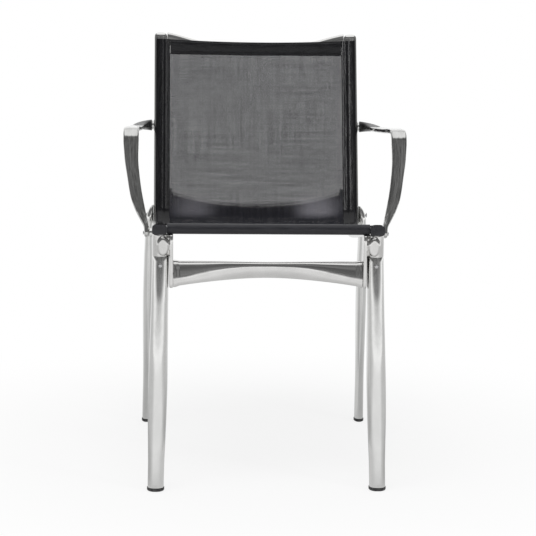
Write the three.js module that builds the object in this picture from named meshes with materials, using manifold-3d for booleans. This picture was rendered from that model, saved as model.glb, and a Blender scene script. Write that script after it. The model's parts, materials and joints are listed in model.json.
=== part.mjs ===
// Sling patio armchair: polished aluminium frame, mesh sling, black edge bands.
// Millimetres, +Z up, the sitter looks along -Y. Lengths along Y start at the seat's front edge.
import * as THREE from "three";
import { mergeVertices } from "three/addons/utils/BufferGeometryUtils.js";
import Module from "manifold-3d";

const wasm = await Module();
wasm.setup();

const { Vector3 } = THREE;
const radians = THREE.MathUtils.degToRad;
const mix = THREE.MathUtils.lerp;

// Fits between pieces
const clearance = 0.3;
const overrun = 2;

// Side rail path, seen from the side
const seatFrontHeight = 460;
const seatRun = 386;
const seatFall = radians(8.5);
const bendRadius = 60;
const backRecline = radians(18);
const backRun = 348.5;

// Side rail profile
const railSpread = 384;
const railWidth = 26;
const railThick = 18;
const railWall = 2.5;
const slotFromCentre = 8;
const slotNeckWidth = 2.2;
const slotNeckDepth = 2;
const slotBore = 5.4;
const slotWall = 1.8;

// Sling, its edge bands and the rods in their beads
const bandReach = 26.7;
const bandThick = 1.6;
const bandNeckThick = 1.4;
const bandBead = 4.6;
const bandInnerDrop = 0.9;
const bandEaseSide = 9.2;
const rodDiameter = 2.8;
const rodHole = 3.4;
const slingThick = 1.2;
const seatSag = 8;
const backSag = 3;
const frontHemTall = 26;
const topHemTall = 31;
const hemThick = 2;
const topHemDip = 4;
const slingFrontGap = 1;
const slingTopGap = 5;
const frontRodDiameter = 14;
const frontRodRise = 2.3;

// End caps of the rails
const frontCapThick = 3.5;
const topCapRise = 9.5;
const capPlugLong = 14;

// Front legs, heads and glides
const frontLegTopBelowSeat = 48;
const frontLegTopInset = 2;
const frontLegTopDepth = 15;
const frontFootOutset = 5;
const frontFootDepth = -36;
const frontLegWide = 34;
const frontLegDeep = 46;
const legWall = 2.6;
const glideTall = 6;
const glidePlugTall = 20;
const glideEdge = 2;
const glideLip = 1;
const headTopRise = 1;
const headSpigotLong = 28;
const domeWide = 22;
const domeTall = 33;
const domeProud = 4;
const domeInset = 4;
const plateThick = 6.4;
const plateDeep = 34;
const plateCorner = 5;
const plateInset = 24;

// Rear legs, brackets and glides, placed from where the rail starts to bend
const rearLegTopBelowBend = 13.3;
const rearLegTopPastBend = 64.2;
const rearFootOutset = 25.5;
const rearFootPastBend = 96.2;
const rearLegWide = 21;
const rearLegDeep = 38;
const rearLegSolidTop = 51;
const bracketDeep = 24;
const bracketTall = 66;
const bracketChamfer = 4;
const bracketAboveBend = 8;

// Crossbars
const frontBarTopBelowSeat = 57;
const frontBarEndTall = 46;
const frontBarMidTall = 31;
const frontBarThick = 18;
const barCollar = 1.2;
const barCollarLong = 7;
const rearBarEndTall = 56;
const rearBarMidTall = 36;
const rearBarThick = 14;
const rearBarDip = 14;
const topBarEndTall = 27;
const topBarMidTall = 14;
const topBarThick = 11;
const topBarDip = 25;
const topBarBow = 6;
const topBarEaseShare = 1.4;
const topBarAboveRail = 12;
const topBarBehind = 3.5;
const topDowelDrop = 6.5;

// Arms
const armWide = 28;
const armThick = 9.6;
const armFrontOutset = 52.5;
const armRearOutset = 44;
const armRearPastBend = 48.2;
const armFrontAboveSeat = 162;
const armRearDrop = 18;
const armBendRadius = 22;
const armRake = radians(20);
const armPadDepth = 86;
const armPadThick = 9;
const armPadGap = 5.7;
const spacerDiameter = 16;
const sleeveRootTall = 22;
const sleeveRootDeep = 21;
const bossThick = 3.4;
const bossTall = 18;

// Fasteners
const boltShank = 6;
const boltHead = 9.5;
const boltHeadTall = 1.8;
const boltGrip = 12;
const rearBoltAlongBend = 72;
const screwShank = 4;
const screwHead = 7;
const screwHeadTall = 1.4;
const screwGrip = 14;
const railScrewGrip = 6;
const railScrewDrop = 4.2;
const rivetShank = 5;
const rivetHead = 7;
const rivetHeadTall = 1.5;
const rivetGrip = 7;
const rivetBehindHead = 10;
const dowelDiameter = 4;
const dowelInBar = 14;
const dowelInPlate = 4;

// Squareness of the ovals: 2 is an ellipse, and more is squarer
const railSquareness = 3;
const legSquareness = 2.3;
const barSquareness = 2.8;
const armSquareness = 3;
const sleeveSquareness = 2.6;
const frontCapSquareness = 4.5;

// Roundness of the meshes
const ovalSides = 18;
const profileSides = 24;
const boreSides = 10;
const roundSides = 12;
const bendSteps = 8;
const armBendSteps = 5;
const slingSteps = 10;
const cornerSteps = 3;
const weldReach = 0.0001;

const finish = {
  aluminium: () => new THREE.MeshStandardMaterial({ color: 0xd4d4d2, roughness: 0.12, metalness: 1 }),
  steel: () => new THREE.MeshStandardMaterial({ color: 0xb8b8b8, roughness: 0.25, metalness: 1 }),
  vinyl: () => new THREE.MeshStandardMaterial({ color: 0x131316, roughness: 0.3, metalness: 0 }),
  mesh: () => new THREE.MeshStandardMaterial({ color: 0x33343a, roughness: 0.6, metalness: 0 }),
  plastic: () => new THREE.MeshStandardMaterial({ color: 0x17171a, roughness: 0.35, metalness: 0 }),
  coated: () => new THREE.MeshStandardMaterial({ color: 0x1a1a1c, roughness: 0.4, metalness: 0 }),
};

const chair = new THREE.Group();

function add(name, geometry, material) {
  const shape = geometry.index ? geometry.toNonIndexed() : geometry;
  shape.computeVertexNormals();
  const mesh = new THREE.Mesh(shape, material);
  mesh.name = name;
  chair.add(mesh);
  return mesh;
}

// Solids from geometry and back
function solidOf(geometry) {
  const bare = geometry.clone();
  bare.deleteAttribute("normal");
  bare.deleteAttribute("uv");
  const merged = mergeVertices(bare, weldReach);
  return new wasm.Manifold(new wasm.Mesh({
    numProp: 3,
    vertProperties: Float32Array.from(merged.attributes.position.array),
    triVerts: Uint32Array.from(merged.index.array),
  }));
}

function geometryOf(solid) {
  const mesh = solid.getMesh();
  const geometry = new THREE.BufferGeometry();
  geometry.setAttribute("position", new THREE.BufferAttribute(mesh.vertProperties, 3));
  geometry.setIndex(new THREE.BufferAttribute(mesh.triVerts, 1));
  return geometry;
}

function join(first, ...others) {
  return geometryOf(others.reduce((sum, other) => sum.add(solidOf(other)), solidOf(first)));
}

function cut(first, ...tools) {
  return geometryOf(tools.reduce((rest, tool) => rest.subtract(solidOf(tool)), solidOf(first)));
}

// A mirrored copy across the chair's middle plane keeps its faces pointing out
function mirrored(geometry) {
  const copy = geometry.index ? geometry.toNonIndexed() : geometry.clone();
  copy.scale(-1, 1, 1);
  const spots = copy.attributes.position;
  for (let i = 0; i < spots.count; i += 3) {
    const second = new Vector3().fromBufferAttribute(spots, i + 1);
    const third = new Vector3().fromBufferAttribute(spots, i + 2);
    spots.setXYZ(i + 1, third.x, third.y, third.z);
    spots.setXYZ(i + 2, second.x, second.y, second.z);
  }
  return copy;
}

function onBothSides(name, geometry, material) {
  add(`left_${name}`, mirrored(geometry), material());
  add(`right_${name}`, geometry, material());
}

function signedVolume(corners, faces) {
  return faces.reduce((sum, [a, b, c]) => sum + corners[a].dot(corners[b].clone().cross(corners[c])), 0);
}

// A body through closed rings of points, capped at both ends by the flat outlines given
function bodyThrough(rings, firstOutline, lastOutline) {
  const count = rings[0].length;
  const corners = rings.flat();
  const faces = [];
  for (let ring = 0; ring < rings.length - 1; ring += 1) {
    for (let k = 0; k < count; k += 1) {
      const a = ring * count + k;
      const b = ring * count + ((k + 1) % count);
      faces.push([a, b, b + count], [a, b + count, a + count]);
    }
  }
  const flat = (outline) => outline.map(([u, v]) => new THREE.Vector2(u, v));
  const last = (rings.length - 1) * count;
  const turned = THREE.ShapeUtils.isClockWise(flat(firstOutline));
  const cap = (outline, start, flip) => {
    for (const [a, b, c] of THREE.ShapeUtils.triangulateShape(flat(outline), [])) {
      faces.push(flip ? [start + a, start + c, start + b] : [start + a, start + b, start + c]);
    }
  };
  cap(firstOutline, 0, !turned);
  cap(lastOutline, last, turned);
  const inward = signedVolume(corners, faces) < 0;
  const order = inward ? faces.map(([a, b, c]) => [a, c, b]) : faces;
  const geometry = new THREE.BufferGeometry().setFromPoints(corners);
  geometry.setIndex(order.flat());
  return geometry;
}

// A section carried along stations, each with its place, its two directions and its own outline
function sweep(stations, outlineOf) {
  const rings = stations.map((station) => outlineOf(station).map(([u, v]) => station.at.clone()
    .addScaledVector(station.across, u)
    .addScaledVector(station.out, v)));
  return bodyThrough(rings, outlineOf(stations[0]), outlineOf(stations[stations.length - 1]));
}

function oval(halfWide, halfTall, sides, squareness, centreU = 0, centreV = 0) {
  const rounded = (value) => Math.sign(value) * Math.abs(value) ** (2 / squareness);
  return Array.from({ length: sides }, (_, k) => {
    const turn = (2 * Math.PI * (k + 0.5)) / sides;
    return [
      centreU + halfWide * rounded(Math.cos(turn)),
      centreV + halfTall * rounded(Math.sin(turn)),
    ];
  });
}

const pinCrownShare = 0.33;

// A solid pin along a direction, with its head at the far end
function pin(start, direction, shank, long, head, headTall) {
  const profile = [
    new THREE.Vector2(0, 0),
    new THREE.Vector2(shank / 2, 0),
    new THREE.Vector2(shank / 2, long),
    new THREE.Vector2(head / 2, long),
    new THREE.Vector2(head / 2, long + headTall / 2),
    new THREE.Vector2(head * pinCrownShare, long + headTall),
    new THREE.Vector2(0, long + headTall),
  ];
  const geometry = new THREE.LatheGeometry(profile, roundSides);
  const turn = new THREE.Quaternion().setFromUnitVectors(new Vector3(0, 1, 0), direction);
  geometry.applyQuaternion(turn);
  geometry.translate(start.x, start.y, start.z);
  return geometry;
}

function rod(start, direction, diameter, long) {
  const geometry = new THREE.CylinderGeometry(diameter / 2, diameter / 2, long, roundSides);
  geometry.translate(0, long / 2, 0);
  geometry.applyQuaternion(new THREE.Quaternion().setFromUnitVectors(new Vector3(0, 1, 0), direction));
  geometry.translate(start.x, start.y, start.z);
  return geometry;
}

const outward = new Vector3(1, 0, 0);
const upward = new Vector3(0, 0, 1);
const rearward = new Vector3(0, 1, 0);
const forward = new Vector3(0, -1, 0);

// The rail's path: a falling seat run, a bend and a reclined back run
const bendTurn = Math.PI / 2 - backRecline + seatFall;
const bendRun = bendRadius * bendTurn;
const railRun = seatRun + bendRun + backRun;
const railSide = railSpread / 2;
const railOuter = railSide + railWidth / 2;
const railInner = railSide - railWidth / 2;
const frontLegTop = seatFrontHeight - frontLegTopBelowSeat;
const frontLegTopSide = railSide - frontLegTopInset;
const frontFootSide = railSide + frontFootOutset;
const rearFootSide = railSide + rearFootOutset;
const plateInner = railSide - plateInset;
const frontBarTop = seatFrontHeight - frontBarTopBelowSeat;
const armFrontSide = railSide + armFrontOutset;
const armRearSide = railSide + armRearOutset;
const armFrontHeight = seatFrontHeight + armFrontAboveSeat;
const bendStart = new Vector3(
  0,
  seatRun * Math.cos(seatFall),
  seatFrontHeight - seatRun * Math.sin(seatFall),
);
const bendCentre = new Vector3(
  0,
  bendStart.y + bendRadius * Math.sin(seatFall),
  bendStart.z + bendRadius * Math.cos(seatFall),
);

function railAt(run) {
  const turn = THREE.MathUtils.clamp((run - seatRun) / bendRadius, 0, bendTurn);
  const rise = turn - seatFall;
  const along = new Vector3(0, Math.cos(rise), Math.sin(rise));
  const out = new Vector3(0, -Math.sin(rise), Math.cos(rise));
  const at = bendCentre.clone().addScaledVector(out, -bendRadius);
  const straight = run < seatRun ? run - seatRun : Math.max(0, run - seatRun - bendRun);
  return { run, at: at.addScaledVector(along, straight), along, out, across: outward };
}

// Stations on the path, closer together round the bend
function railStations(from, to, steps = bendSteps) {
  const bends = Array.from({ length: steps + 1 }, (_, k) => seatRun + (bendRun * k) / steps);
  const inside = bends.filter((run) => run > from + overrun && run < to - overrun);
  return [from, ...inside, to].map(railAt);
}

function atSide(stations) {
  return stations.map((station) => ({ ...station, at: station.at.clone().setX(railSide) }));
}

// The rail's profile: a soft oval with a keyhole slot for the sling's bead
function railFace(u) {
  const share = Math.abs((2 * u) / railWidth) ** railSquareness;
  return (railThick / 2) * (1 - share) ** (1 / railSquareness);
}

const slotTop = railFace(slotFromCentre);
const slotCentre = slotTop - slotNeckDepth - slotBore / 2;

function circle(diameter, sides, u, v) {
  return oval(diameter / 2, diameter / 2, sides, 2, u, v);
}

function railOutline(grow = 0, squareness = railSquareness) {
  return oval(railWidth / 2 + grow, railThick / 2 + grow, profileSides, squareness);
}

function slotNeckOutline() {
  const half = slotNeckWidth / 2;
  const left = slotFromCentre - half;
  const right = slotFromCentre + half;
  const top = slotTop + slotNeckDepth;
  return [[left, slotCentre], [right, slotCentre], [right, top], [left, top]];
}

const voidRight = slotFromCentre - slotBore / 2 - slotWall;
const voidLeft = -railWidth / 2 + railWall;

function railVoidOutline(shrink = 0) {
  const halfWide = (voidRight - voidLeft) / 2 - shrink;
  const halfTall = railThick / 2 - railWall - shrink;
  return oval(halfWide, halfTall, ovalSides, railSquareness, (voidLeft + voidRight) / 2);
}

// Front leg: an oval tube that swells in the middle and leans forward
const frontLegShares = [
  { height: 0, wide: 0.84, deep: 0.62 },
  { height: 0.09, wide: 0.84, deep: 0.66 },
  { height: 0.18, wide: 0.89, deep: 0.72 },
  { height: 0.3, wide: 0.97, deep: 0.82 },
  { height: 0.45, wide: 1, deep: 0.93 },
  { height: 0.62, wide: 0.96, deep: 1 },
  { height: 0.8, wide: 0.9, deep: 1 },
  { height: 1, wide: 0.88, deep: 0.93 },
];

// How wide the rear leg is where it starts to lie against the rail
const rearLegTopShare = 0.77;

// Rear leg: slimmer, with a rounded top that lies against the rail's outer face
const rearLegShares = [
  { height: 0, wide: 0.86, deep: 0.76 },
  { height: 0.19, wide: 0.82, deep: 0.84 },
  { height: 0.4, wide: 0.93, deep: 0.95 },
  { height: 0.56, wide: 1, deep: 1 },
  { height: 0.75, wide: 0.88, deep: 1 },
  { height: 0.84, wide: rearLegTopShare, deep: 1 },
  { height: 0.92, wide: 0.73, deep: 0.97 },
  { height: 0.947, wide: 0.7, deep: 0.92 },
  { height: 0.965, wide: 0.6, deep: 0.84 },
  { height: 0.98, wide: 0.47, deep: 0.72 },
  { height: 0.992, wide: 0.3, deep: 0.56 },
  { height: 1, wide: 0.14, deep: 0.4 },
];

function legStations(foot, top, shares, wide, deep) {
  return shares.map((share) => ({
    at: foot.clone().lerp(top, share.height),
    across: outward,
    out: rearward,
    halfWide: (wide * share.wide) / 2,
    halfDeep: (deep * share.deep) / 2,
  }));
}

function legOutline(station, shrink) {
  return oval(station.halfWide - shrink, station.halfDeep - shrink, ovalSides, legSquareness);
}

function stationAtHeight(stations, height) {
  const above = stations.findIndex((station) => station.at.z >= height);
  const high = stations[above < 0 ? stations.length - 1 : Math.max(above, 1)];
  const low = stations[(above < 0 ? stations.length - 1 : Math.max(above, 1)) - 1];
  const share = (height - low.at.z) / (high.at.z - low.at.z);
  return {
    at: low.at.clone().lerp(high.at, share),
    across: outward,
    out: rearward,
    halfWide: mix(low.halfWide, high.halfWide, share),
    halfDeep: mix(low.halfDeep, high.halfDeep, share),
  };
}

const legFoot = glideTall + clearance;
const frontLeg = legStations(
  new Vector3(frontFootSide, frontFootDepth, legFoot),
  new Vector3(frontLegTopSide, frontLegTopDepth, frontLegTop),
  frontLegShares,
  frontLegWide,
  frontLegDeep,
);
const rearLegTop = bendCentre.z - rearLegTopBelowBend;
const rearVoidTop = rearLegTop - rearLegSolidTop;
const rearLegTopSide = railOuter + clearance + (rearLegWide * rearLegTopShare) / 2;
const rearLeg = legStations(
  new Vector3(rearFootSide, bendStart.y + rearFootPastBend, legFoot),
  new Vector3(rearLegTopSide, bendStart.y + rearLegTopPastBend, rearLegTop),
  rearLegShares,
  rearLegWide,
  rearLegDeep,
).map((station) => {
  // The rounded top keeps its inner side on the rail
  const inside = railOuter + clearance + station.halfWide;
  return station.at.z > rearVoidTop ? { ...station, at: station.at.clone().setX(inside) } : station;
});

// Middle depth of the front head, from the leg's top
const headDepth = frontLegTopDepth;
const headDeepShare = frontLegShares[frontLegShares.length - 1].deep;
const headFront = headDepth - (frontLegDeep * headDeepShare) / 2;

// Places on the frame that several pieces share
const legScrewHeight = frontLegTop - headSpigotLong / 2;
const legScrewStation = stationAtHeight(frontLeg, legScrewHeight);
const frontBarMiddle = frontBarTop - frontBarEndTall / 2;
const rearBarStation = railAt(seatRun + bendRun + bracketAboveBend);
const rearBarBehind = railThick / 2 + clearance + bracketDeep / 2;
const rearBarCentre = rearBarStation.at.clone().addScaledVector(rearBarStation.out, -rearBarBehind);
const topBarStation = railAt(railRun + topBarAboveRail - topBarEndTall / 2);
const topBarCentre = topBarStation.at.clone().addScaledVector(topBarStation.out, -topBarBehind);
const armRearDepth = bendStart.y + armRearPastBend;
const armRearHeight = armFrontHeight - armRearDrop;
const rootRun = railRun - (railAt(railRun).at.z - armRearHeight) / Math.cos(backRecline);
const armRoot = behindCentre(rootRun);
const padRun = armPadDepth / Math.cos(seatFall);
const armPad = behindCentre(padRun);

// A place on the rail's path, dropped away from the sitter to miss the slot
function behindCentre(run) {
  const station = railAt(run);
  return station.at.clone().addScaledVector(station.out, -railScrewDrop);
}

// Holes for the fasteners, each a clearance wider than its shank
function hole(start, direction, diameter, long) {
  const from = start.clone().addScaledVector(direction, -overrun);
  return rod(from, direction, diameter + 2 * clearance, long + overrun);
}

const rearBoltSpot = behindCentre(seatRun + rearBoltAlongBend);
const rearBoltStart = rearBoltSpot.clone().setX(railOuter - boltGrip);
const rearBoltHole = hole(rearBoltStart, outward, boltShank, boltGrip + 2 * rearLegWide);
const padScrewStart = new Vector3(railOuter - railScrewGrip, armPad.y, armPad.z);
const padScrewHole = hole(padScrewStart, outward, screwShank, railScrewGrip + armPadGap + 2 * armPadThick);
const rootStudStart = new Vector3(railOuter - railScrewGrip, armRoot.y, armRoot.z);
const rootStudLong = railScrewGrip + bossThick + screwGrip;
const rootStudHole = hole(rootStudStart, outward, screwShank, rootStudLong + overrun);
const rivetSide = railSide + (voidLeft + voidRight) / 2;
const headRivet = railRivet((headDepth + rivetBehindHead) / Math.cos(seatFall));
const bracketRivet = railRivet(seatRun + bendRun + bracketAboveBend);

// A rivet from a casting into the rail's hollow, square to the rail
function railRivet(run) {
  const station = railAt(run);
  const start = station.at.clone().setX(rivetSide);
  start.addScaledVector(station.out, -railThick / 2 - rivetGrip);
  const long = rivetGrip + railWall + 2 * clearance;
  const solid = pin(start, station.out, rivetShank, long, rivetHead, rivetHeadTall);
  return { solid, hole: hole(start, station.out, rivetShank, rivetGrip + railThick / 2) };
}

const legScrewStart = new Vector3(
  legScrewStation.at.x,
  legScrewStation.at.y - legScrewStation.halfDeep + screwGrip,
  legScrewHeight,
);
const legScrewHole = hole(legScrewStart, forward, screwShank, screwGrip + overrun);

// Dowels between a crossbar's end and the face that it meets
function dowelStart(face, depth, height) {
  return new Vector3(face - dowelInBar, depth, height);
}

const frontRodRun = slingFrontGap + railThick / 2;
const frontRodStation = railAt(frontRodRun);
const frontRodSpot = frontRodStation.at.clone().addScaledVector(frontRodStation.out, frontRodRise);
const frontDowel = dowelStart(plateInner, headDepth, frontBarMiddle);
const rearDowel = dowelStart(plateInner, rearBarCentre.y, rearBarCentre.z);
const topDowelSpot = topBarCentre.clone().addScaledVector(topBarStation.along, -topDowelDrop);
const topDowel = dowelStart(railInner, topDowelSpot.y, topDowelSpot.z);
const rodDowel = dowelStart(railInner, frontRodSpot.y, frontRodSpot.z);
const dowelLong = dowelInBar + dowelInPlate;
const dowelHole = (start) => hole(start, outward, dowelDiameter, dowelLong + clearance);

// A dowel in a rail stays within its wall, and its hole opens into the rail's hollow
const railDowelLong = dowelInBar + railWall - clearance;
const railDowelHole = (start) => hole(start, outward, dowelDiameter, railDowelLong + overrun);
const bothEnds = (tool) => [tool, mirrored(tool)];

// Side rails
const beyondRail = [railAt(-overrun), ...railStations(0, railRun), railAt(railRun + overrun)];
const rail = cut(
  sweep(atSide(railStations(0, railRun)), () => railOutline()),
  sweep(atSide(beyondRail), () => railVoidOutline()),
  sweep(atSide(beyondRail), () => slotNeckOutline()),
  sweep(atSide(beyondRail), () => circle(slotBore, boreSides, slotFromCentre, slotCentre)),
  padScrewHole,
  rootStudHole,
  rearBoltHole,
  headRivet.hole,
  bracketRivet.hole,
  railDowelHole(topDowel),
  railDowelHole(rodDowel),
);
onBothSides("side_rail", rail, finish.aluminium);

// Edge bands: a sheet over the rail's face, with a hollow bead held in the slot
const bandEdge = slotFromCentre - bandReach;
const bandEase = -bandEaseSide;
const bandEaseShare = (bandEase - bandEdge) / bandReach;
const bandShoulderShare = 0.8;
const bandSheetShares = [0, bandEaseShare / 2, bandEaseShare, 0.5, 0.65, 0.8, 0.95];

function bandUnder(u) {
  const eased = Math.max(0, (bandEase - u) / (bandEase - bandEdge));
  return railFace(Math.max(u, bandEase)) + clearance - bandInnerDrop * eased;
}

function bandOutline() {
  const sheet = bandSheetShares.map((share) => bandEdge + share * bandReach);
  const over = sheet.map((u) => [u, bandUnder(u) + bandThick]);
  const under = sheet.map((u) => [u, bandUnder(u)]).reverse();
  const half = bandNeckThick / 2;
  const beadTop = slotCentre + Math.sqrt((bandBead / 2) ** 2 - half ** 2);
  const start = Math.asin((2 * half) / bandBead);
  const bead = Array.from({ length: boreSides }, (_, k) => {
    const turn = start + ((2 * Math.PI - 2 * start) * k) / (boreSides - 1);
    const reach = bandBead / 2;
    return [slotFromCentre + reach * Math.sin(turn), slotCentre + reach * Math.cos(turn)];
  });
  bead[0] = [slotFromCentre + half, beadTop];
  bead[boreSides - 1] = [slotFromCentre - half, beadTop];
  const shoulder = [slotFromCentre + half, bandUnder(slotFromCentre) + bandThick * bandShoulderShare];
  const corner = [slotFromCentre - half, bandUnder(slotFromCentre - half)];
  return [...over, shoulder, ...bead, corner, ...under];
}

const bandFrom = slingFrontGap;
const bandTo = railRun - slingTopGap;
const bandStations = atSide(railStations(bandFrom, bandTo));
const bandThrough = atSide([
  railAt(bandFrom - overrun),
  ...railStations(bandFrom, bandTo),
  railAt(bandTo + overrun),
]);

// The front hem's loop, which the bands stop short of beside the rails
const loopInner = frontRodDiameter / 2 + clearance;
const loopOuter = loopInner + hemThick;
const besideRail = [
  [-railWidth / 2 - bandReach, -railThick],
  [-railWidth / 2, -railThick],
  [-railWidth / 2, railThick],
  [-railWidth / 2 - bandReach, railThick],
];
const band = cut(
  sweep(bandStations, () => bandOutline()),
  sweep(bandThrough, () => circle(rodHole, boreSides, slotFromCentre, slotCentre)),
  sweep(atSide([railAt(-overrun), railAt(frontRodRun + loopOuter + clearance)]), () => besideRail),
);
onBothSides("edge_band", band, finish.vinyl);
onBothSides(
  "edge_rod",
  sweep(bandStations, () => circle(rodDiameter, boreSides, slotFromCentre, slotCentre)),
  finish.plastic,
);

// Sling: a sheet between the bands, sagging a little across its width
const slingHalf = railSide + bandEdge - clearance;
const slingLevel = bandUnder(bandEdge) + bandThick / 2;

function slingSpot(side, run, lift) {
  const station = railAt(run);
  const backShare = THREE.MathUtils.smoothstep(run, seatRun, seatRun + bendRun);
  const sag = mix(seatSag, backSag, backShare) * (1 - (side / slingHalf) ** 2);
  return station.at.clone().setX(side).addScaledVector(station.out, slingLevel - sag + lift);
}

// More stations on the straight runs, and how fast a dip fades along the sheet
const firstRunShares = [0.33, 0.67];
const lastRunShare = 0.5;
const dipFade = 4;

// A sheet of the sling between two runs, whose far end can dip along the sling in the middle
function slingSheet(from, to, thick, endDip = 0) {
  const runs = railStations(from, to).map((station) => station.run);
  if (runs[1] - runs[0] > bendRun) {
    runs.splice(1, 0, ...firstRunShares.map((share) => mix(runs[0], runs[1], share)));
  }
  if (runs[runs.length - 1] - runs[runs.length - 2] > bendRun) {
    const end = runs.length - 1;
    runs.splice(end, 0, mix(runs[end - 1], runs[end], lastRunShare));
  }
  const sides = Array.from({ length: slingSteps + 1 }, (_, k) => mix(-slingHalf, slingHalf, k / slingSteps));
  const rings = sides.map((side) => {
    const middle = 1 - (side / slingHalf) ** 2;
    const moved = runs.map((run, k) => {
      const share = k / (runs.length - 1);
      return run - middle * endDip * share ** dipFade;
    });
    return [
      ...moved.map((run) => slingSpot(side, run, thick / 2)),
      ...moved.map((run) => slingSpot(side, run, -thick / 2)).reverse(),
    ];
  });
  const flat = (ring) => ring.map((spot) => [spot.y, spot.z]);
  return bodyThrough(rings, flat(rings[0]), flat(rings[rings.length - 1]));
}

// Front hem: a loop round a rod between the rails, with a tail that meets the mesh
const slingFrom = slingFrontGap;
const slingTo = railRun - slingTopGap;
const meshFrom = slingFrom + frontHemTall + clearance;
const meshTo = slingTo - topHemTall - clearance;
add("sling_mesh", slingSheet(meshFrom, meshTo, slingThick), finish.mesh());
const rodHalf = railInner - clearance;

function alongChair(diameter, half) {
  return rod(frontRodSpot.clone().setX(-half), outward, diameter, 2 * half);
}

const hemTail = slingSheet(slingFrom + railThick / 2, slingFrom + frontHemTall, hemThick);
add("sling_front_hem", cut(
  join(alongChair(2 * loopOuter, rodHalf), hemTail),
  alongChair(2 * loopInner, rodHalf + overrun),
), finish.vinyl());
add("front_rod", cut(
  alongChair(frontRodDiameter, rodHalf),
  ...bothEnds(railDowelHole(rodDowel)),
), finish.coated());
add("sling_top_hem", slingSheet(slingTo - topHemTall, slingTo, hemThick, topHemDip), finish.vinyl());

const capOverlap = 0.5;

// Rail caps: a plug in the rail's hollow and a cover on its end
function capFor(end, direction, shares, tall, squareness) {
  const cover = shares.map((share) => {
    const run = end + direction * (clearance + tall * share.rise);
    return { ...railAt(run), grow: share.grow };
  });
  const plug = [clearance + tall * shares[0].rise + capOverlap, -capPlugLong].map((past) => (
    railAt(end + direction * past)));
  return join(
    sweep(atSide(cover), (station) => oval(
      (railWidth / 2) * station.grow,
      (railThick / 2) * station.grow,
      profileSides,
      squareness,
    )),
    sweep(atSide(plug), () => railVoidOutline(clearance)),
  );
}

const frontCapShares = [{ rise: 0, grow: 1 }, { rise: 0.6, grow: 1 }, { rise: 1, grow: 0.92 }];
const topCapShares = [
  { rise: 0, grow: 1 },
  { rise: 0.4, grow: 0.98 },
  { rise: 0.75, grow: 0.84 },
  { rise: 1, grow: 0.55 },
];
const frontCap = capFor(0, -1, frontCapShares, frontCapThick, frontCapSquareness);
const topCap = capFor(railRun, 1, topCapShares, topCapRise, railSquareness);
onBothSides("rail_front_cap", frontCap, finish.plastic);
onBothSides("rail_top_cap", topCap, finish.aluminium);

// Front legs
const frontVoid = [
  stationAtHeight(frontLeg, legFoot - overrun),
  ...frontLeg.slice(1, -1),
  stationAtHeight(frontLeg, frontLegTop + overrun),
];
const frontLegTube = cut(
  sweep(frontLeg, (station) => legOutline(station, 0)),
  sweep(frontVoid, (station) => legOutline(station, legWall)),
  legScrewHole,
);
onBothSides("front_leg", frontLegTube, finish.aluminium);

// Front heads: a casting on the leg's top that cradles the rail and carries the crossbar
const headTop = seatFrontHeight - railThick / 2 + headTopRise;
const headFoot = frontLegTop + clearance;
const headShares = [{ rise: 0, grow: 1 }, { rise: 0.6, grow: 1 }, { rise: 1, grow: 0.97 }];
const headSpigotShare = 0.4;
const headDomeShare = 0.5;
const headBody = headShares.map(({ rise, grow }) => {
  const top = frontLeg[frontLeg.length - 1];
  return {
    at: new Vector3(frontLegTopSide, headDepth, mix(headFoot, headTop, rise)),
    across: outward,
    out: rearward,
    halfWide: top.halfWide * grow,
    halfDeep: top.halfDeep * grow,
  };
});
const spigot = [frontLegTop - headSpigotLong, mix(frontLegTop, headTop, headSpigotShare)].map((height) => (
  stationAtHeight(frontLeg, height)));

function roundedPlate(wide, tall, corner) {
  const shape = new THREE.Shape();
  const right = wide / 2 - corner;
  const top = tall / 2 - corner;
  shape.absarc(right, top, corner, 0, Math.PI / 2);
  shape.absarc(-right, top, corner, Math.PI / 2, Math.PI);
  shape.absarc(-right, -top, corner, Math.PI, 1.5 * Math.PI);
  shape.absarc(right, -top, corner, 1.5 * Math.PI, 2 * Math.PI);
  return shape;
}

// A plate that stands in the YZ plane, from one side place to another
function sidePlate(shape, from, to, depth, height) {
  const settings = { depth: to - from, bevelEnabled: false, curveSegments: cornerSteps };
  const geometry = new THREE.ExtrudeGeometry(shape, settings);
  geometry.rotateX(Math.PI / 2);
  geometry.rotateZ(Math.PI / 2);
  geometry.translate(from, depth, height);
  return geometry;
}

const plateBottom = frontBarTop - frontBarEndTall - barCollar;
const plateTall = headTop - plateBottom;
const hangingPlate = sidePlate(
  roundedPlate(plateDeep, plateTall, plateCorner),
  plateInner,
  plateInner + plateThick,
  headDepth,
  plateBottom + plateTall / 2,
);
const neckTall = headTop - headFoot;
const neckWide = frontLegTopSide - plateInner - plateThick / 2;
const neckDeepShare = 0.7;
const plateNeck = new THREE.BoxGeometry(neckWide, plateDeep * neckDeepShare, neckTall);
plateNeck.translate(plateInner + plateThick / 2 + neckWide / 2, headDepth, headFoot + neckTall / 2);
const dome = new THREE.SphereGeometry(1, roundSides, roundSides / 2);
dome.scale(domeWide / 2, domeProud + domeInset, domeTall / 2);
dome.translate(frontLegTopSide - domeInset, headFront + domeInset, mix(frontLegTop, headTop, headDomeShare));
const domeFloor = new THREE.BoxGeometry(frontLegWide * 2, frontLegDeep * 2, domeTall);
domeFloor.translate(frontLegTopSide, headDepth, headFoot - domeTall / 2);
const head = cut(
  join(
    sweep(headBody, (station) => legOutline(station, 0)),
    cut(dome, domeFloor),
    sweep(spigot, (station) => legOutline(station, legWall + clearance)),
    hangingPlate,
    plateNeck,
  ),
  sweep(atSide([railAt(-railThick), railAt(seatRun / 2)]), () => railOutline(clearance)),
  sweep(atSide([railAt(-railThick), railAt(0)]), () => railOutline(clearance, frontCapSquareness)),
  alongChair(2 * (loopOuter + clearance), railInner + overrun),
  legScrewHole,
  headRivet.hole,
  dowelHole(frontDowel),
);
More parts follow.
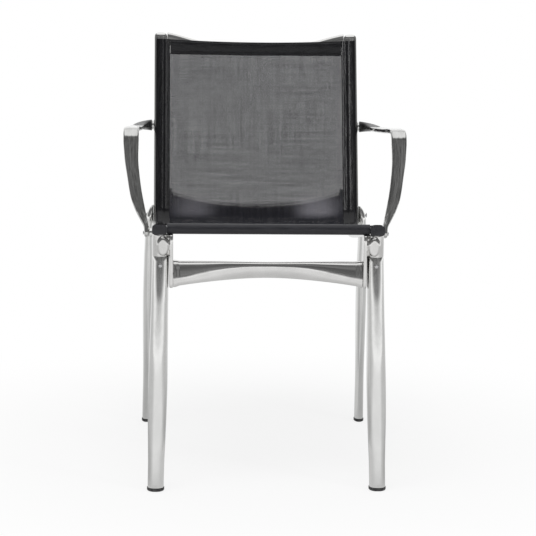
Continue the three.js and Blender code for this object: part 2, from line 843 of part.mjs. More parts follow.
onBothSides("front_leg_head", head, finish.aluminium);

// Glides: a foot pad on a plug in the leg's open end
function glide(leg) {
  const foot = leg[0];
  const spread = (height, grow) => ({
    at: foot.at.clone().setZ(height),
    across: outward,
    out: rearward,
    halfWide: foot.halfWide + grow,
    halfDeep: foot.halfDeep + grow,
  });
  const plug = [glideTall - glideEdge, glideTall + glidePlugTall].map((height) => (
    stationAtHeight(leg, height)));
  return join(
    sweep(
      [spread(0, -glideEdge), spread(glideEdge, glideLip), spread(glideTall, glideLip)],
      (station) => legOutline(station, 0),
    ),
    sweep(plug, (station) => legOutline(station, legWall + clearance)),
  );
}

onBothSides("front_glide", glide(frontLeg), finish.plastic);
onBothSides("rear_glide", glide(rearLeg), finish.plastic);

// Rear legs
const rearVoid = [
  stationAtHeight(rearLeg, legFoot - overrun),
  ...rearLeg.filter((station) => station.at.z > legFoot && station.at.z < rearVoidTop),
  stationAtHeight(rearLeg, rearVoidTop),
];
const rearLegTube = cut(
  sweep(rearLeg, (station) => legOutline(station, 0)),
  sweep(rearVoid, (station) => legOutline(station, legWall)),
  rearBoltHole,
);
onBothSides("rear_leg", rearLegTube, finish.aluminium);

// Rear brackets: castings behind the rail's bend that carry the rear crossbar
const bracketShares = [
  { along: -0.5, deep: 0.45 },
  { along: -0.4, deep: 0.85 },
  { along: -0.25, deep: 1 },
  { along: 0, deep: 1 },
  { along: 0.25, deep: 1 },
  { along: 0.42, deep: 0.8 },
  { along: 0.5, deep: 0.35 },
];

function bracketOutline(station) {
  const near = -railThick / 2 - clearance;
  const far = near - bracketDeep * station.deep;
  const edge = bracketChamfer * station.deep;
  const left = plateInner - railSide;
  const right = railOuter - railSide;
  return [
    [left, near],
    [left, far + edge],
    [left + edge, far],
    [right - edge, far],
    [right, far + edge],
    [right, near],
  ];
}

const bracketStations = bracketShares.map(({ along, deep }) => (
  { ...railAt(seatRun + bendRun + bracketAboveBend + bracketTall * along), deep }));
const bracket = cut(
  sweep(atSide(bracketStations), bracketOutline),
  bracketRivet.hole,
  dowelHole(rearDowel),
);
onBothSides("rear_bracket", bracket, finish.aluminium);

// Crossbars: ovals whose height and place change along their length
const barShares = [-1, -0.96, -0.8, -0.55, -0.28, 0, 0.28, 0.55, 0.8, 0.96, 1];

function crossbar(bar) {
  const stations = barShares.map((share) => {
    const middle = 1 - share ** 2;
    const collar = Math.abs(share) > 1 - barCollarLong / bar.half ? bar.collar : 0;
    const tall = mix(bar.endTall, bar.midTall, middle) + 2 * collar;
    return {
      at: new Vector3(share * bar.half, bar.depth(middle), bar.height(middle)),
      across: bar.across,
      out: bar.up,
      halfWide: bar.thick / 2 + collar,
      halfDeep: tall / 2,
    };
  });
  return sweep(stations, (station) => oval(station.halfWide, station.halfDeep, ovalSides, barSquareness));
}

const betweenPlates = plateInner - clearance;
const frontBar = crossbar({
  half: betweenPlates,
  endTall: frontBarEndTall,
  midTall: frontBarMidTall,
  thick: frontBarThick,
  collar: barCollar,
  across: rearward,
  up: upward,
  depth: () => headDepth,
  height: (middle) => frontBarTop - mix(frontBarEndTall, frontBarMidTall, middle) / 2,
});
add("front_crossbar", cut(frontBar, ...bothEnds(dowelHole(frontDowel))), finish.aluminium());

const rearBar = crossbar({
  half: betweenPlates,
  endTall: rearBarEndTall,
  midTall: rearBarMidTall,
  thick: rearBarThick,
  collar: barCollar,
  across: rearBarStation.out,
  up: rearBarStation.along,
  depth: (middle) => rearBarCentre.y - rearBarDip * middle * Math.sin(backRecline),
  height: (middle) => rearBarCentre.z - rearBarDip * middle * Math.cos(backRecline),
});
add("rear_crossbar", cut(rearBar, ...bothEnds(dowelHole(rearDowel))), finish.aluminium());

// Top crossbar: between the rails' inner sides, behind the sling's top
const topBarSink = (middle) => topBarDip * middle ** topBarEaseShare;
const topBarBack = (middle) => topBarBow * middle ** topBarEaseShare;
const topBar = crossbar({
  half: railInner - clearance,
  endTall: topBarEndTall,
  midTall: topBarMidTall,
  thick: topBarThick,
  collar: 0,
  across: topBarStation.out,
  up: topBarStation.along,
  depth: (middle) => topBarCentre.y - topBarSink(middle) * Math.sin(backRecline)
    + topBarBack(middle) * Math.cos(backRecline),
  height: (middle) => topBarCentre.z - topBarSink(middle) * Math.cos(backRecline)
    - topBarBack(middle) * Math.sin(backRecline),
});
add("top_crossbar", cut(topBar, ...bothEnds(railDowelHole(topDowel))), finish.aluminium());

// Arms: a flat bar that runs forward, bends down and narrows to a pad on the rail's side
const padSide = railOuter + armPadGap + armPadThick / 2;
const armCorner = armPad.clone().setX(armFrontSide);
armCorner.z = armFrontHeight;
armCorner.y += (armFrontHeight - armPad.z) * Math.tan(armRake);
const armLevel = Math.atan2(armFrontHeight - armRearHeight, armRearDepth - armCorner.y);

function armStation(at, turn, wide, thick) {
  return {
    at,
    across: outward,
    out: new Vector3(0, Math.sin(turn), Math.cos(turn)),
    halfWide: wide / 2,
    halfDeep: thick / 2,
  };
}

// The rest, from the sleeve to the front bend
const restShares = [
  { along: 0, wide: 0.9, bow: 0, tilt: 0 },
  { along: 0.25, wide: 1, bow: 0.35, tilt: 1 },
  { along: 0.55, wide: 1, bow: 0.72, tilt: 1 },
  { along: 1, wide: 1, bow: 1, tilt: 1 },
];

// The blade, from the front bend down to the pad: it narrows, then thickens into the pad
const bladeShares = [
  { fall: 0.2, inward: 0.03, wide: 0.9, thick: 1 },
  { fall: 0.42, inward: 0.18, wide: 0.81, thick: 1 },
  { fall: 0.62, inward: 0.37, wide: 0.78, thick: 1.08 },
  { fall: 0.76, inward: 0.6, wide: 0.66, thick: 1.35 },
  { fall: 0.87, inward: 0.83, wide: 0.46, thick: 1.8 },
  { fall: 0.95, inward: 0.985, wide: 0.33, thick: 2.1 },
  { fall: 1.01, inward: 1, wide: 0.32, thick: 2 },
  { fall: 1.04, inward: 1, wide: 0.27, thick: 1.4 },
];

function armStations() {
  const bend = Math.PI / 2 - armRake + armLevel;
  const tangent = armBendRadius * Math.tan(bend / 2);
  const back = new Vector3(0, Math.cos(armLevel), -Math.sin(armLevel));
  const bendFrom = armCorner.clone().addScaledVector(back, tangent);
  const rearEnd = new Vector3(armRearSide, armRearDepth, armRearHeight);
  const rest = restShares.map((share) => {
    const at = rearEnd.clone().lerp(bendFrom, share.along).setX(mix(armRearSide, armFrontSide, share.bow));
    return armStation(at, armLevel * share.tilt, armWide * share.wide, armThick);
  });
  const restOut = rest[rest.length - 1].out;
  const centre = bendFrom.clone().addScaledVector(restOut, -armBendRadius);
  const round = Array.from({ length: armBendSteps }, (_, k) => {
    const turn = armLevel - (bend * (k + 1)) / armBendSteps;
    const station = armStation(centre.clone(), turn, armWide, armThick);
    station.at.addScaledVector(station.out, armBendRadius);
    return station;
  });
  const bendTo = round[armBendSteps - 1].at;
  const blade = bladeShares.map((share) => {
    const at = bendTo.clone().lerp(armPad, share.fall).setX(mix(armFrontSide, padSide, share.inward));
    return armStation(at, armRake - Math.PI / 2, armWide * share.wide, armThick * share.thick);
  });
  return [...rest, ...round, ...blade];
}

const arm = cut(
  sweep(armStations(), (station) => oval(station.halfWide, station.halfDeep, ovalSides, armSquareness)),
  padScrewHole,
);
onBothSides("arm", arm, finish.aluminium);

// Spacers between the arms' pads and the rails
const spacerStart = new Vector3(railOuter + clearance, armPad.y, armPad.z);
const spacer = cut(rod(spacerStart, outward, spacerDiameter, armPadGap - 2 * clearance), padScrewHole);
onBothSides("arm_spacer", spacer, finish.aluminium);

// Bosses and black sleeves that turn from the rail's side to the arm's rear end
const bossStart = new Vector3(railOuter + clearance, armRoot.y, armRoot.z);
onBothSides("arm_boss", cut(rod(bossStart, outward, bossTall, bossThick), rootStudHole), finish.aluminium);

const sleeveStart = bossStart.clone().addScaledVector(outward, bossThick + clearance);
const sleeveEnd = new Vector3(armRearSide, armRearDepth + clearance, armRearHeight);
const sleeveShares = [0, 0.2, 0.4, 0.6, 0.8, 1];
const sleeve = sweep(sleeveShares.map((share) => {
  const turn = (share * Math.PI) / 2;
  return {
    at: new Vector3(
      mix(sleeveStart.x, sleeveEnd.x, Math.sin(turn)),
      mix(sleeveStart.y, sleeveEnd.y, 1 - Math.cos(turn)),
      mix(sleeveStart.z, sleeveEnd.z, share),
    ),
    across: new Vector3(Math.sin(turn), Math.cos(turn), 0),
    out: upward,
    halfWide: mix(sleeveRootDeep, armWide * restShares[0].wide, share) / 2,
    halfDeep: mix(sleeveRootTall, armThick, share) / 2,
  };
}), (station) => oval(station.halfWide, station.halfDeep, ovalSides, sleeveSquareness));
onBothSides("arm_sleeve", cut(sleeve, rootStudHole), finish.plastic);

// Fasteners
const boltEdge = stationAtHeight(rearLeg, rearBoltStart.z - boltHead / 2);
const rearBoltLong = boltEdge.at.x + boltEdge.halfWide + clearance - rearBoltStart.x;
onBothSides(
  "rear_leg_bolt",
  pin(rearBoltStart, outward, boltShank, rearBoltLong, boltHead, boltHeadTall),
  finish.steel,
);
onBothSides(
  "front_leg_screw",
  pin(legScrewStart, forward, screwShank, screwGrip + 2 * clearance, screwHead, screwHeadTall),
  finish.steel,
);
const padScrewLong = railScrewGrip + armPadGap + armPadThick + 3 * clearance;
onBothSides(
  "arm_pad_screw",
  pin(padScrewStart, outward, screwShank, padScrewLong, screwHead, screwHeadTall),
  finish.steel,
);
onBothSides(
  "arm_root_stud",
  rod(rootStudStart, outward, screwShank, rootStudLong),
  finish.steel,
);
onBothSides("head_rivet", headRivet.solid, finish.steel);
onBothSides("bracket_rivet", bracketRivet.solid, finish.steel);
const dowels = {
  front_bar: { start: frontDowel, long: dowelLong },
  rear_bar: { start: rearDowel, long: dowelLong },
  top_bar: { start: topDowel, long: railDowelLong },
  front_rod: { start: rodDowel, long: railDowelLong },
};
for (const [bar, { start, long }] of Object.entries(dowels)) {
  onBothSides(`${bar}_dowel`, rod(start, outward, dowelDiameter, long), finish.steel);
}

// The model's origin is the middle of its footprint, on the floor
const footprint = new THREE.Box3().setFromObject(chair);
chair.position.y = -(footprint.min.y + footprint.max.y) / 2;

export default chair;
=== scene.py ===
# Sling patio armchair: smooth polished frame, see-through mesh sling, glossy black hems.
# Shapes are worked out in millimetres from the seat's front edge, then placed in the shared frame in metres.
import json
import math

import bpy
import numpy as np
from mathutils import Matrix, Vector


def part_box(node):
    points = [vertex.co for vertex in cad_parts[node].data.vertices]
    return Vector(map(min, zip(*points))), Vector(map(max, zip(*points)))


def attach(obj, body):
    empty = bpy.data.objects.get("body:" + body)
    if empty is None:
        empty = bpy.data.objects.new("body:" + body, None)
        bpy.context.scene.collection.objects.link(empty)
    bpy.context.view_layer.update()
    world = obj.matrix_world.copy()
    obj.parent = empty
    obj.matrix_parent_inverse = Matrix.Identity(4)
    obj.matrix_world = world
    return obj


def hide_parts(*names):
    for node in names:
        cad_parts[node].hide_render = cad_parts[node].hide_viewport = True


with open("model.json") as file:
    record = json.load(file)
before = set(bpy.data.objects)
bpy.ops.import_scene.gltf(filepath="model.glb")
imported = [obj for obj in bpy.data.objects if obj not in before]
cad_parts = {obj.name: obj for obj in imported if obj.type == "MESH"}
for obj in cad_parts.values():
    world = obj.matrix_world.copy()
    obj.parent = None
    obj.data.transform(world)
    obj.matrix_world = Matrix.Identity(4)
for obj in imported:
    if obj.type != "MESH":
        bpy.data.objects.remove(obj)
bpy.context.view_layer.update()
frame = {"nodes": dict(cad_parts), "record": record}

METRES = 0.001
# How far the middle of the footprint lies behind the seat's front edge
ROW_SHIFT = 257.1265

# Fits and the rail's path
CLEARANCE = 0.3
SEAT_FRONT_HEIGHT = 460
SEAT_RUN = 386
SEAT_FALL = math.radians(8.5)
BEND_RADIUS = 60
RECLINE = math.radians(18)
BACK_RUN = 348.5
BEND_TURN = math.pi / 2 - RECLINE + SEAT_FALL
BEND_RUN = BEND_RADIUS * BEND_TURN
RAIL_RUN = SEAT_RUN + BEND_RUN + BACK_RUN

# The rail's section and its slot
RAIL_SIDE = 192
RAIL_WIDE = 26
RAIL_THICK = 18
RAIL_SQUARE = 3
RAIL_OUTER = RAIL_SIDE + RAIL_WIDE / 2
RAIL_INNER = RAIL_SIDE - RAIL_WIDE / 2
SLOT_SIDE = 8
SLOT_NECK = 2.2
SLOT_NECK_DEEP = 2
SLOT_BORE = 5.4

# The sling and its bands
BAND_REACH = 26.7
BAND_THICK = 1.6
BAND_DROP = 0.9
BAND_EASE_AT = -9.2
SEAT_SAG = 8
BACK_SAG = 3
FRONT_HEM_TALL = 26
TOP_HEM_TALL = 31
HEM_THICK = 2
TOP_HEM_DIP = 4
SLING_FRONT_GAP = 1
SLING_TOP_GAP = 5
LOOP_OUTER = 9.3
FRONT_ROD_RISE = 2.3

X = np.array([1.0, 0, 0])
Y = np.array([0, 1.0, 0])
Z = np.array([0, 0, 1.0])


def unit(vector):
    return vector / np.linalg.norm(vector)


def mix(a, b, share):
    return a + (b - a) * share


def smooth_step(value, low, high):
    share = min(max((value - low) / (high - low), 0), 1)
    return share * share * (3 - 2 * share)


BEND_START = np.array([0, SEAT_RUN * math.cos(SEAT_FALL), SEAT_FRONT_HEIGHT - SEAT_RUN * math.sin(SEAT_FALL)])
BEND_CENTRE = BEND_START + BEND_RADIUS * np.array([0, math.sin(SEAT_FALL), math.cos(SEAT_FALL)])


def rail_at(run):
    """The place on the rail's path, the direction along it and the direction towards the sitter."""
    rise = min(max((run - SEAT_RUN) / BEND_RADIUS, 0), BEND_TURN) - SEAT_FALL
    along = np.array([0, math.cos(rise), math.sin(rise)])
    out = np.array([0, -math.sin(rise), math.cos(rise)])
    straight = run - SEAT_RUN if run < SEAT_RUN else max(0, run - SEAT_RUN - BEND_RUN)
    return BEND_CENTRE - out * BEND_RADIUS + along * straight, along, out


def rail_runs(start, end, step=12, bend_step=3):
    """Runs along the rail, closer together round the bend."""
    bend = [SEAT_RUN, SEAT_RUN + BEND_RUN]
    marks = [start, *[run for run in bend if start < run < end], end]
    runs = [start]
    for low, high in zip(marks, marks[1:]):
        bent = bend[0] <= (low + high) / 2 <= bend[1]
        count = max(1, round((high - low) / (bend_step if bent else step)))
        runs += list(np.linspace(low, high, count + 1)[1:])
    return runs


# Meshes


def put_in_scene(name, data):
    made = bpy.data.objects.new(name, data)
    bpy.context.scene.collection.objects.link(made)
    return made


def new_piece(name, points, faces, grain, material, replaces, sharp=40):
    """A smooth-shaded piece. grain is each point's own place along the piece, for its material."""
    mesh = bpy.data.meshes.new(name)
    placed = (np.asarray(points, float) - [0, ROW_SHIFT, 0]) * METRES
    mesh.from_pydata(placed.tolist(), [], faces)
    lay = mesh.attributes.new("grain", "FLOAT_VECTOR", "POINT")
    lay.data.foreach_set("vector", np.asarray(grain, np.float32).ravel())
    mesh.polygons.foreach_set("use_smooth", [True] * len(mesh.polygons))
    mesh.update()
    mesh.set_sharp_from_angle(angle=math.radians(sharp))
    mesh.materials.append(material)
    piece = put_in_scene(name, mesh)
    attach(piece, "root")
    if replaces:
        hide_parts(*replaces)
    return piece


def rings_to_mesh(rings, closed=True, capped=True):
    """Points and faces through rings of equal length."""
    count = len(rings[0])
    points = np.concatenate(rings)
    faces = []
    for ring in range(len(rings) - 1):
        for k in range(count if closed else count - 1):
            a = ring * count + k
            b = ring * count + (k + 1) % count
            faces.append((a, b, b + count, a + count))
    if capped:
        last = (len(rings) - 1) * count
        faces.append(tuple(range(count - 1, -1, -1)))
        faces.append(tuple(range(last, last + count)))
    return points, faces


def outward(points, faces):
    """The faces, turned over if they point into the body."""
    volume = 0.0
    for face in faces:
        first = points[face[0]]
        for b, c in zip(face[1:], face[2:]):
            volume += np.dot(first, np.cross(points[b], points[c]))
    return faces if volume > 0 else [tuple(reversed(face)) for face in faces]


def mirrored(points, faces):
    return points * [-1, 1, 1], [tuple(reversed(face)) for face in faces]


def pair(node, tail, shape, material, sharp=40):
    """The right piece and its mirror image, each in place of its CAD node."""
    points, faces, grain = shape
    faces = outward(points, faces)
    made = {}
    for side in ("right", "left"):
        spots, turned = (points, faces) if side == "right" else mirrored(points, faces)
        made[side] = new_piece(
            f"{side}_{node}_{tail}", spots, turned, grain, material, [f"{side}_{node}"], sharp)
    return made


def single(node, tail, shape, material, sharp=40):
    points, faces, grain = shape
    return new_piece(f"{node}_{tail}", points, outward(points, faces), grain, material, [node], sharp)


def joined(*shapes):
    """Several shapes in one piece."""
    points, faces, grain, start = [], [], [], 0
    for spots, sides, lay in shapes:
        points.append(spots)
        grain.append(lay)
        faces += [tuple(k + start for k in face) for face in outward(spots, sides)]
        start += len(spots)
    return np.concatenate(points), faces, np.concatenate(grain)


def oval(half_wide, half_tall, square=2.0, sides=44, u=0.0, v=0.0):
    turn = 2 * math.pi * (np.arange(sides) + 0.5) / sides
    cos, sin = np.cos(turn), np.sin(turn)
    power = 2 / square
    return np.stack([
        u + half_wide * np.sign(cos) * np.abs(cos) ** power,
        v + half_tall * np.sign(sin) * np.abs(sin) ** power,
    ], axis=1)


def row(at, across, out, half_wide, half_deep, square):
    """One station of a body: its place, its two directions, its half sizes and how square it is."""
    return np.concatenate([at, across, out, [half_wide, half_deep, square]])


def pchip(knots, values, wanted):
    """Smooth interpolation that never overshoots its knots."""
    step = np.diff(knots)
    slope = np.diff(values, axis=0) / step[:, None]
    tangent = np.zeros_like(values)
    tangent[0], tangent[-1] = slope[0], slope[-1]
    for k in range(1, len(knots) - 1):
        a, b = slope[k - 1], slope[k]
        w1, w2 = 2 * step[k] + step[k - 1], step[k] + 2 * step[k - 1]
        same = a * b > 0
        with np.errstate(divide="ignore", invalid="ignore"):
            tangent[k] = np.where(same, (w1 + w2) / (w1 / a + w2 / b), 0)
    k = np.clip(np.searchsorted(knots, wanted) - 1, 0, len(step) - 1)
    t = ((wanted - knots[k]) / step[k])[:, None]
    h = step[k][:, None]
    return (values[k] * (1 + 2 * t) * (1 - t) ** 2 + tangent[k] * h * t * (1 - t) ** 2
            + values[k + 1] * t * t * (3 - 2 * t) + tangent[k + 1] * h * t * t * (t - 1))


def body(rows, step=6.0, round_start=0.8, round_end=0.8, sides=44, smooth=True):
    """A smooth body through stations, with both of its ends rounded over."""
    rows = np.array(rows)
    knots = np.concatenate([[0], np.cumsum(np.linalg.norm(np.diff(rows[:, :3], axis=0), axis=1))])
    long = knots[-1]
    inside = np.linspace(round_start, long - round_end, max(2, round(long / step)))
    bends = np.array([0, 0.12, 0.35, 0.65])
    spots = np.concatenate([bends * round_start, inside, long - bends[::-1] * round_end])
    near = np.minimum(spots / max(round_start, 1e-6), (long - spots) / max(round_end, 1e-6))
    edge = np.where(spots < long / 2, round_start, round_end)
    inset = edge * (1 - np.sqrt(1 - (1 - np.clip(near, 0, 1)) ** 2))
    if smooth:
        fine = pchip(knots, rows, spots)
    else:
        fine = np.stack([np.interp(spots, knots, column) for column in rows.T], axis=1)
    rings, grain = [], []
    for spot, less, values in zip(spots, inset, fine):
        across, out = unit(values[3:6]), unit(values[6:9])
        flat = oval(values[9] - less, values[10] - less, values[11], sides)
        rings.append(values[:3] + flat[:, :1] * across + flat[:, 1:] * out)
        grain.append(np.column_stack([flat, np.full(sides, spot)]))
    points, faces = rings_to_mesh(rings)
    return points, faces, np.concatenate(grain)


def along_rail(parts):
    """A body through (outline, run) pairs along the rail."""
    rings, grain = [], []
    for outline, run in parts:
        at, _, out = rail_at(run)
        rings.append(at + RAIL_SIDE * X + outline[:, :1] * X + outline[:, 1:] * out)
        grain.append(np.column_stack([outline, np.full(len(outline), run)]))
    points, faces = rings_to_mesh(rings)
    return points, faces, np.concatenate(grain)


def lathe(profile, at, axis, sides=36, lobes=None):
    """A turned body from (radius, rise) pairs. lobes gives the rings that are hexagons instead of circles."""
    side = unit(np.cross(axis, Z if abs(axis[2]) < 0.9 else X))
    other = np.cross(axis, side)
    turn = 2 * math.pi * np.arange(sides) / sides
    rings, grain = [], []
    for k, (radius, rise) in enumerate(profile):
        reach = np.full(sides, float(radius))
        if lobes and k in lobes:
            sector = (turn + math.pi / 6) % (math.pi / 3) - math.pi / 6
            reach = radius / np.cos(sector)
        u, v = reach * np.cos(turn), reach * np.sin(turn)
        rings.append(at + rise * axis + np.outer(u, side) + np.outer(v, other))
        grain.append(np.column_stack([u, v, np.full(sides, rise)]))
    points, faces = rings_to_mesh(rings)
    return points, faces, np.concatenate(grain)


# Material nodes


def node(tree, kind, inputs=(), **settings):
    made = tree.nodes.new("ShaderNode" + kind)
    for key, value in settings.items():
        setattr(made, key, value)
    for key, value in dict(inputs).items():
        if isinstance(value, bpy.types.NodeSocket):
            tree.links.new(value, made.inputs[key])
        else:
            made.inputs[key].default_value = value
    return made


def calc(tree, operation, a, b=0.0, c=0.0):
    return node(tree, "Math", {0: a, 1: b, 2: c}, operation=operation).outputs[0]


def ramp(tree, value, low, high, to_low=0.0, to_high=1.0, kind="LINEAR"):
    return node(tree, "MapRange", {
        "Value": value, "From Min": low, "From Max": high, "To Min": to_low, "To Max": to_high,
    }, interpolation_type=kind).outputs["Result"]


def smooth(tree, value, low, high, to_low=0.0, to_high=1.0):
    return ramp(tree, value, low, high, to_low, to_high, "SMOOTHSTEP")


def noise(tree, vector, scale, stretch=(1, 1, 1), detail=2.0, rough=0.5):
    """Noise in the piece's own grain. scale is in waves per millimetre."""
    moved = node(tree, "Mapping", {"Vector": vector, "Scale": stretch}).outputs["Vector"]
    return node(tree, "TexNoise", {
        "Vector": moved, "Scale": scale, "Detail": detail, "Roughness": rough,
    }).outputs["Fac"]


def grain_of(tree, whole):
    """The piece's own grain in millimetres, or for a plain CAD solid its object place in millimetres."""
    if not whole:
        return node(tree, "Attribute", attribute_name="grain").outputs["Vector"]
    place = node(tree, "TexCoord").outputs["Object"]
    return node(tree, "VectorMath", {0: place, 1: (1000, 1000, 1000)}, operation="MULTIPLY").outputs[0]


def bumps(tree, layers):
    """Layers of (height, depth in millimetres), one on the other."""
    normal = None
    for height, deep in layers:
        inputs = {"Height": height, "Strength": 1.0, "Distance": deep * METRES}
        if normal:
            inputs["Normal"] = normal
        normal = node(tree, "Bump", inputs).outputs["Normal"]
    return normal


def colour_mix(tree, share, first, second):
    made = node(tree, "Mix", {"Factor": share}, data_type="RGBA")
    for key, value in ((6, first), (7, second)):
        if isinstance(value, bpy.types.NodeSocket):
            tree.links.new(value, made.inputs[key])
        else:
            made.inputs[key].default_value = (*value, 1)
    return made.outputs[2]


def new_material(name):
    material = bpy.data.materials.new(name)
    material.use_nodes = True
    tree = material.node_tree
    tree.nodes.clear()
    output = tree.nodes.new("ShaderNodeOutputMaterial")
    return material, tree, output


def finish_with(tree, output, shader):
    tree.links.new(shader, output.inputs["Surface"])


def metal(name, light, dull, low, high, wave, streak, whole=False, furrow=0.0):
    """Polished metal with fine lines along the piece, soft waves, a slight haze and, if asked, furrows."""
    material, tree, output = new_material(name)
    grain = grain_of(tree, whole)
    lines = noise(tree, grain, 1.1, (1, 1, 0.03), 3.0, 0.6)
    haze = noise(tree, grain, 0.035, (1, 1, 0.5), 3.0, 0.6)
    waves = noise(tree, grain, 0.06, (1, 1, 0.25), 1.0)
    specks = noise(tree, grain, 2.6, (1, 1, 1), 2.0)
    furrows = noise(tree, grain, 0.15, (1, 1, 0.04), 2.0)
    dulled = ramp(tree, haze, 0.35, 0.7, low, high)
    rough = calc(tree, "ADD", dulled, ramp(tree, lines, 0.45, 0.75, 0.0, 0.05))
    colour = colour_mix(tree, ramp(tree, haze, 0.3, 0.75), light, dull)
    colour = colour_mix(tree, ramp(tree, specks, 0.68, 0.8, 0.0, 0.35), colour, tuple(0.6 * c for c in dull))
    shader = node(tree, "BsdfPrincipled", {
        "Base Color": colour,
        "Metallic": 1.0,
        "Roughness": rough,
        "Normal": bumps(tree, [(waves, wave), (lines, streak), (furrows, furrow)]),
    })
    finish_with(tree, output, shader.outputs[0])
    return material


VINYL_WAVE, VINYL_LEATHER = 0.5, 0.02


def vinyl(name, dark, pale, rough_low, rough_high):
    """Coated black cloth: a fine leathery grain, slow waves along its length and scuffed patches."""
    material, tree, output = new_material(name)
    grain = grain_of(tree, False)
    fine = noise(tree, grain, 1.6, (1, 1, 0.8), 3.0, 0.6)
    waves = noise(tree, grain, 0.09, (1, 1, 0.3), 2.0)
    scuff = noise(tree, grain, 0.25, (1, 1, 0.15), 4.0, 0.65)
    shader = node(tree, "BsdfPrincipled", {
        "Base Color": colour_mix(tree, ramp(tree, scuff, 0.4, 0.75), dark, pale),
        "Roughness": ramp(tree, scuff, 0.3, 0.75, rough_low, rough_high),
        "Normal": bumps(tree, [(waves, VINYL_WAVE), (fine, VINYL_LEATHER)]),
        "Specular IOR Level": 0.3,
        "Coat Weight": 0.1,
        "Coat Roughness": 0.12,
    })
    finish_with(tree, output, shader.outputs[0])
    return material


def plastic(name, dark, pale, rough_low, rough_high, whole=False):
    """Moulded plastic with a fine spark-eroded grain and worn, paler patches."""
    material, tree, output = new_material(name)
    grain = grain_of(tree, whole)
    fine = noise(tree, grain, 3.0, (1, 1, 1), 2.0)
    worn = noise(tree, grain, 0.12, (1, 1, 0.6), 4.0, 0.6)
    shader = node(tree, "BsdfPrincipled", {
        "Base Color": colour_mix(tree, ramp(tree, worn, 0.45, 0.8), dark, pale),
        "Roughness": ramp(tree, worn, 0.3, 0.75, rough_low, rough_high),
        "Normal": bumps(tree, [(fine, 0.015)]),
    })
    finish_with(tree, output, shader.outputs[0])
    return material


# The weave: its pitch in millimetres, and as shares of it the yarns' width and unevenness
WEAVE_PITCH = 1.25
YARN_WIDE = 0.625
UNEVEN = 0.04
# Round the bend, between these places along the sheet, the yarns are wider by this share
BEND_YARN_WIDER = 0.26
BEND_WEAVE_FROM, BEND_WEAVE_TO = (365, 385), (418, 446)


def weave(name, dark, pale):
    """An open plain weave of coated yarn with clear holes, closer round the bend."""
    material, tree, output = new_material(name)
    grain = grain_of(tree, False)
    split = node(tree, "SeparateXYZ", {0: grain})
    slow = noise(tree, grain, 1.0, (0.35, 0.006, 1), 2.0, 0.6)
    slow_cross = noise(tree, grain, 1.0, (0.006, 0.35, 1), 2.0, 0.6)
    closer = calc(
        tree, "MULTIPLY", ramp(tree, split.outputs["Y"], *BEND_WEAVE_FROM, 0.0, BEND_YARN_WIDER / 2),
        ramp(tree, split.outputs["Y"], *BEND_WEAVE_TO, 1.0, 0.0))
    heights, masks, parts = [], [], []
    for axis, uneven in (("X", slow), ("Y", slow_cross)):
        place = calc(tree, "DIVIDE", split.outputs[axis], WEAVE_PITCH)
        parts.append(calc(tree, "SINE", calc(tree, "MULTIPLY", place, math.pi)))
        off = calc(tree, "ABSOLUTE", calc(tree, "SUBTRACT", calc(tree, "FRACT", place), 0.5))
        half = ramp(tree, uneven, 0.3, 0.7, YARN_WIDE / 2 - UNEVEN, YARN_WIDE / 2 + UNEVEN)
        half = calc(tree, "ADD", half, closer)
        masks.append(ramp(tree, calc(tree, "SUBTRACT", half, off), -0.02, 0.02))
        share = calc(tree, "DIVIDE", off, half)
        heights.append(calc(tree, "SQRT", calc(tree, "MAXIMUM", calc(
            tree, "SUBTRACT", 1.0, calc(tree, "MULTIPLY", share, share)), 0.0)))
    over = calc(tree, "MULTIPLY", parts[0], parts[1])
    warp = calc(tree, "MULTIPLY", masks[0], calc(tree, "MULTIPLY_ADD", over, 0.5, heights[0]))
    weft = calc(tree, "MULTIPLY", masks[1], calc(tree, "MULTIPLY_ADD", over, -0.5, heights[1]))
    height = calc(tree, "MAXIMUM", warp, weft)
    alpha = calc(tree, "MAXIMUM", masks[0], masks[1])
    tone = noise(tree, grain, 0.4, (1, 0.05, 1), 3.0, 0.6)
    shader = node(tree, "BsdfPrincipled", {
        "Base Color": colour_mix(tree, ramp(tree, tone, 0.35, 0.7), dark, pale),
        "Roughness": ramp(tree, tone, 0.3, 0.7, 0.5, 0.65),
        "Specular IOR Level": 0.12,
        "Alpha": alpha,
        "Normal": bumps(tree, [(height, 0.12)]),
    })
    finish_with(tree, output, shader.outputs[0])
    return material


POLISH = (0.06, 0.14, 0.16, 0.006)
BRIGHT = ((0.86, 0.86, 0.85), (0.78, 0.78, 0.77), *POLISH)
ZINC = ((0.68, 0.68, 0.69), (0.5, 0.5, 0.51), 0.2, 0.35, 0.02, 0.01)
TUBE = metal("polished_tube", *BRIGHT)
TUBE_SOLID = metal("polished_tube_solid", *BRIGHT, whole=True)
ARM = metal("polished_arm", (0.76, 0.76, 0.75), (0.52, 0.52, 0.51), *POLISH, furrow=2.0)
CAST = metal("polished_casting", (0.84, 0.835, 0.825), (0.74, 0.735, 0.725), 0.08, 0.18, 0.3, 0.004)
STEEL = metal("fastener_steel", *ZINC)
STEEL_SOLID = metal("fastener_steel_solid", *ZINC, whole=True)
VINYL = vinyl("black_vinyl", (0.006, 0.006, 0.007), (0.014, 0.014, 0.016), 0.14, 0.26)
CAP = plastic("black_cap", (0.024, 0.024, 0.028), (0.038, 0.038, 0.044), 0.4, 0.54)
HEM = vinyl("black_hem", (0.02, 0.02, 0.024), (0.034, 0.034, 0.04), 0.38, 0.52)
SLEEVE = plastic("black_sleeve", (0.012, 0.012, 0.013), (0.03, 0.03, 0.032), 0.25, 0.42)
ROD = plastic("bead_rod_plastic", (0.012, 0.012, 0.013), (0.03, 0.03, 0.032), 0.3, 0.45, True)
COATED = plastic("black_powder_coat", (0.014, 0.014, 0.015), (0.03, 0.03, 0.032), 0.35, 0.5, True)
GLIDE = plastic("glide_plastic", (0.03, 0.03, 0.032), (0.09, 0.09, 0.09), 0.45, 0.65)
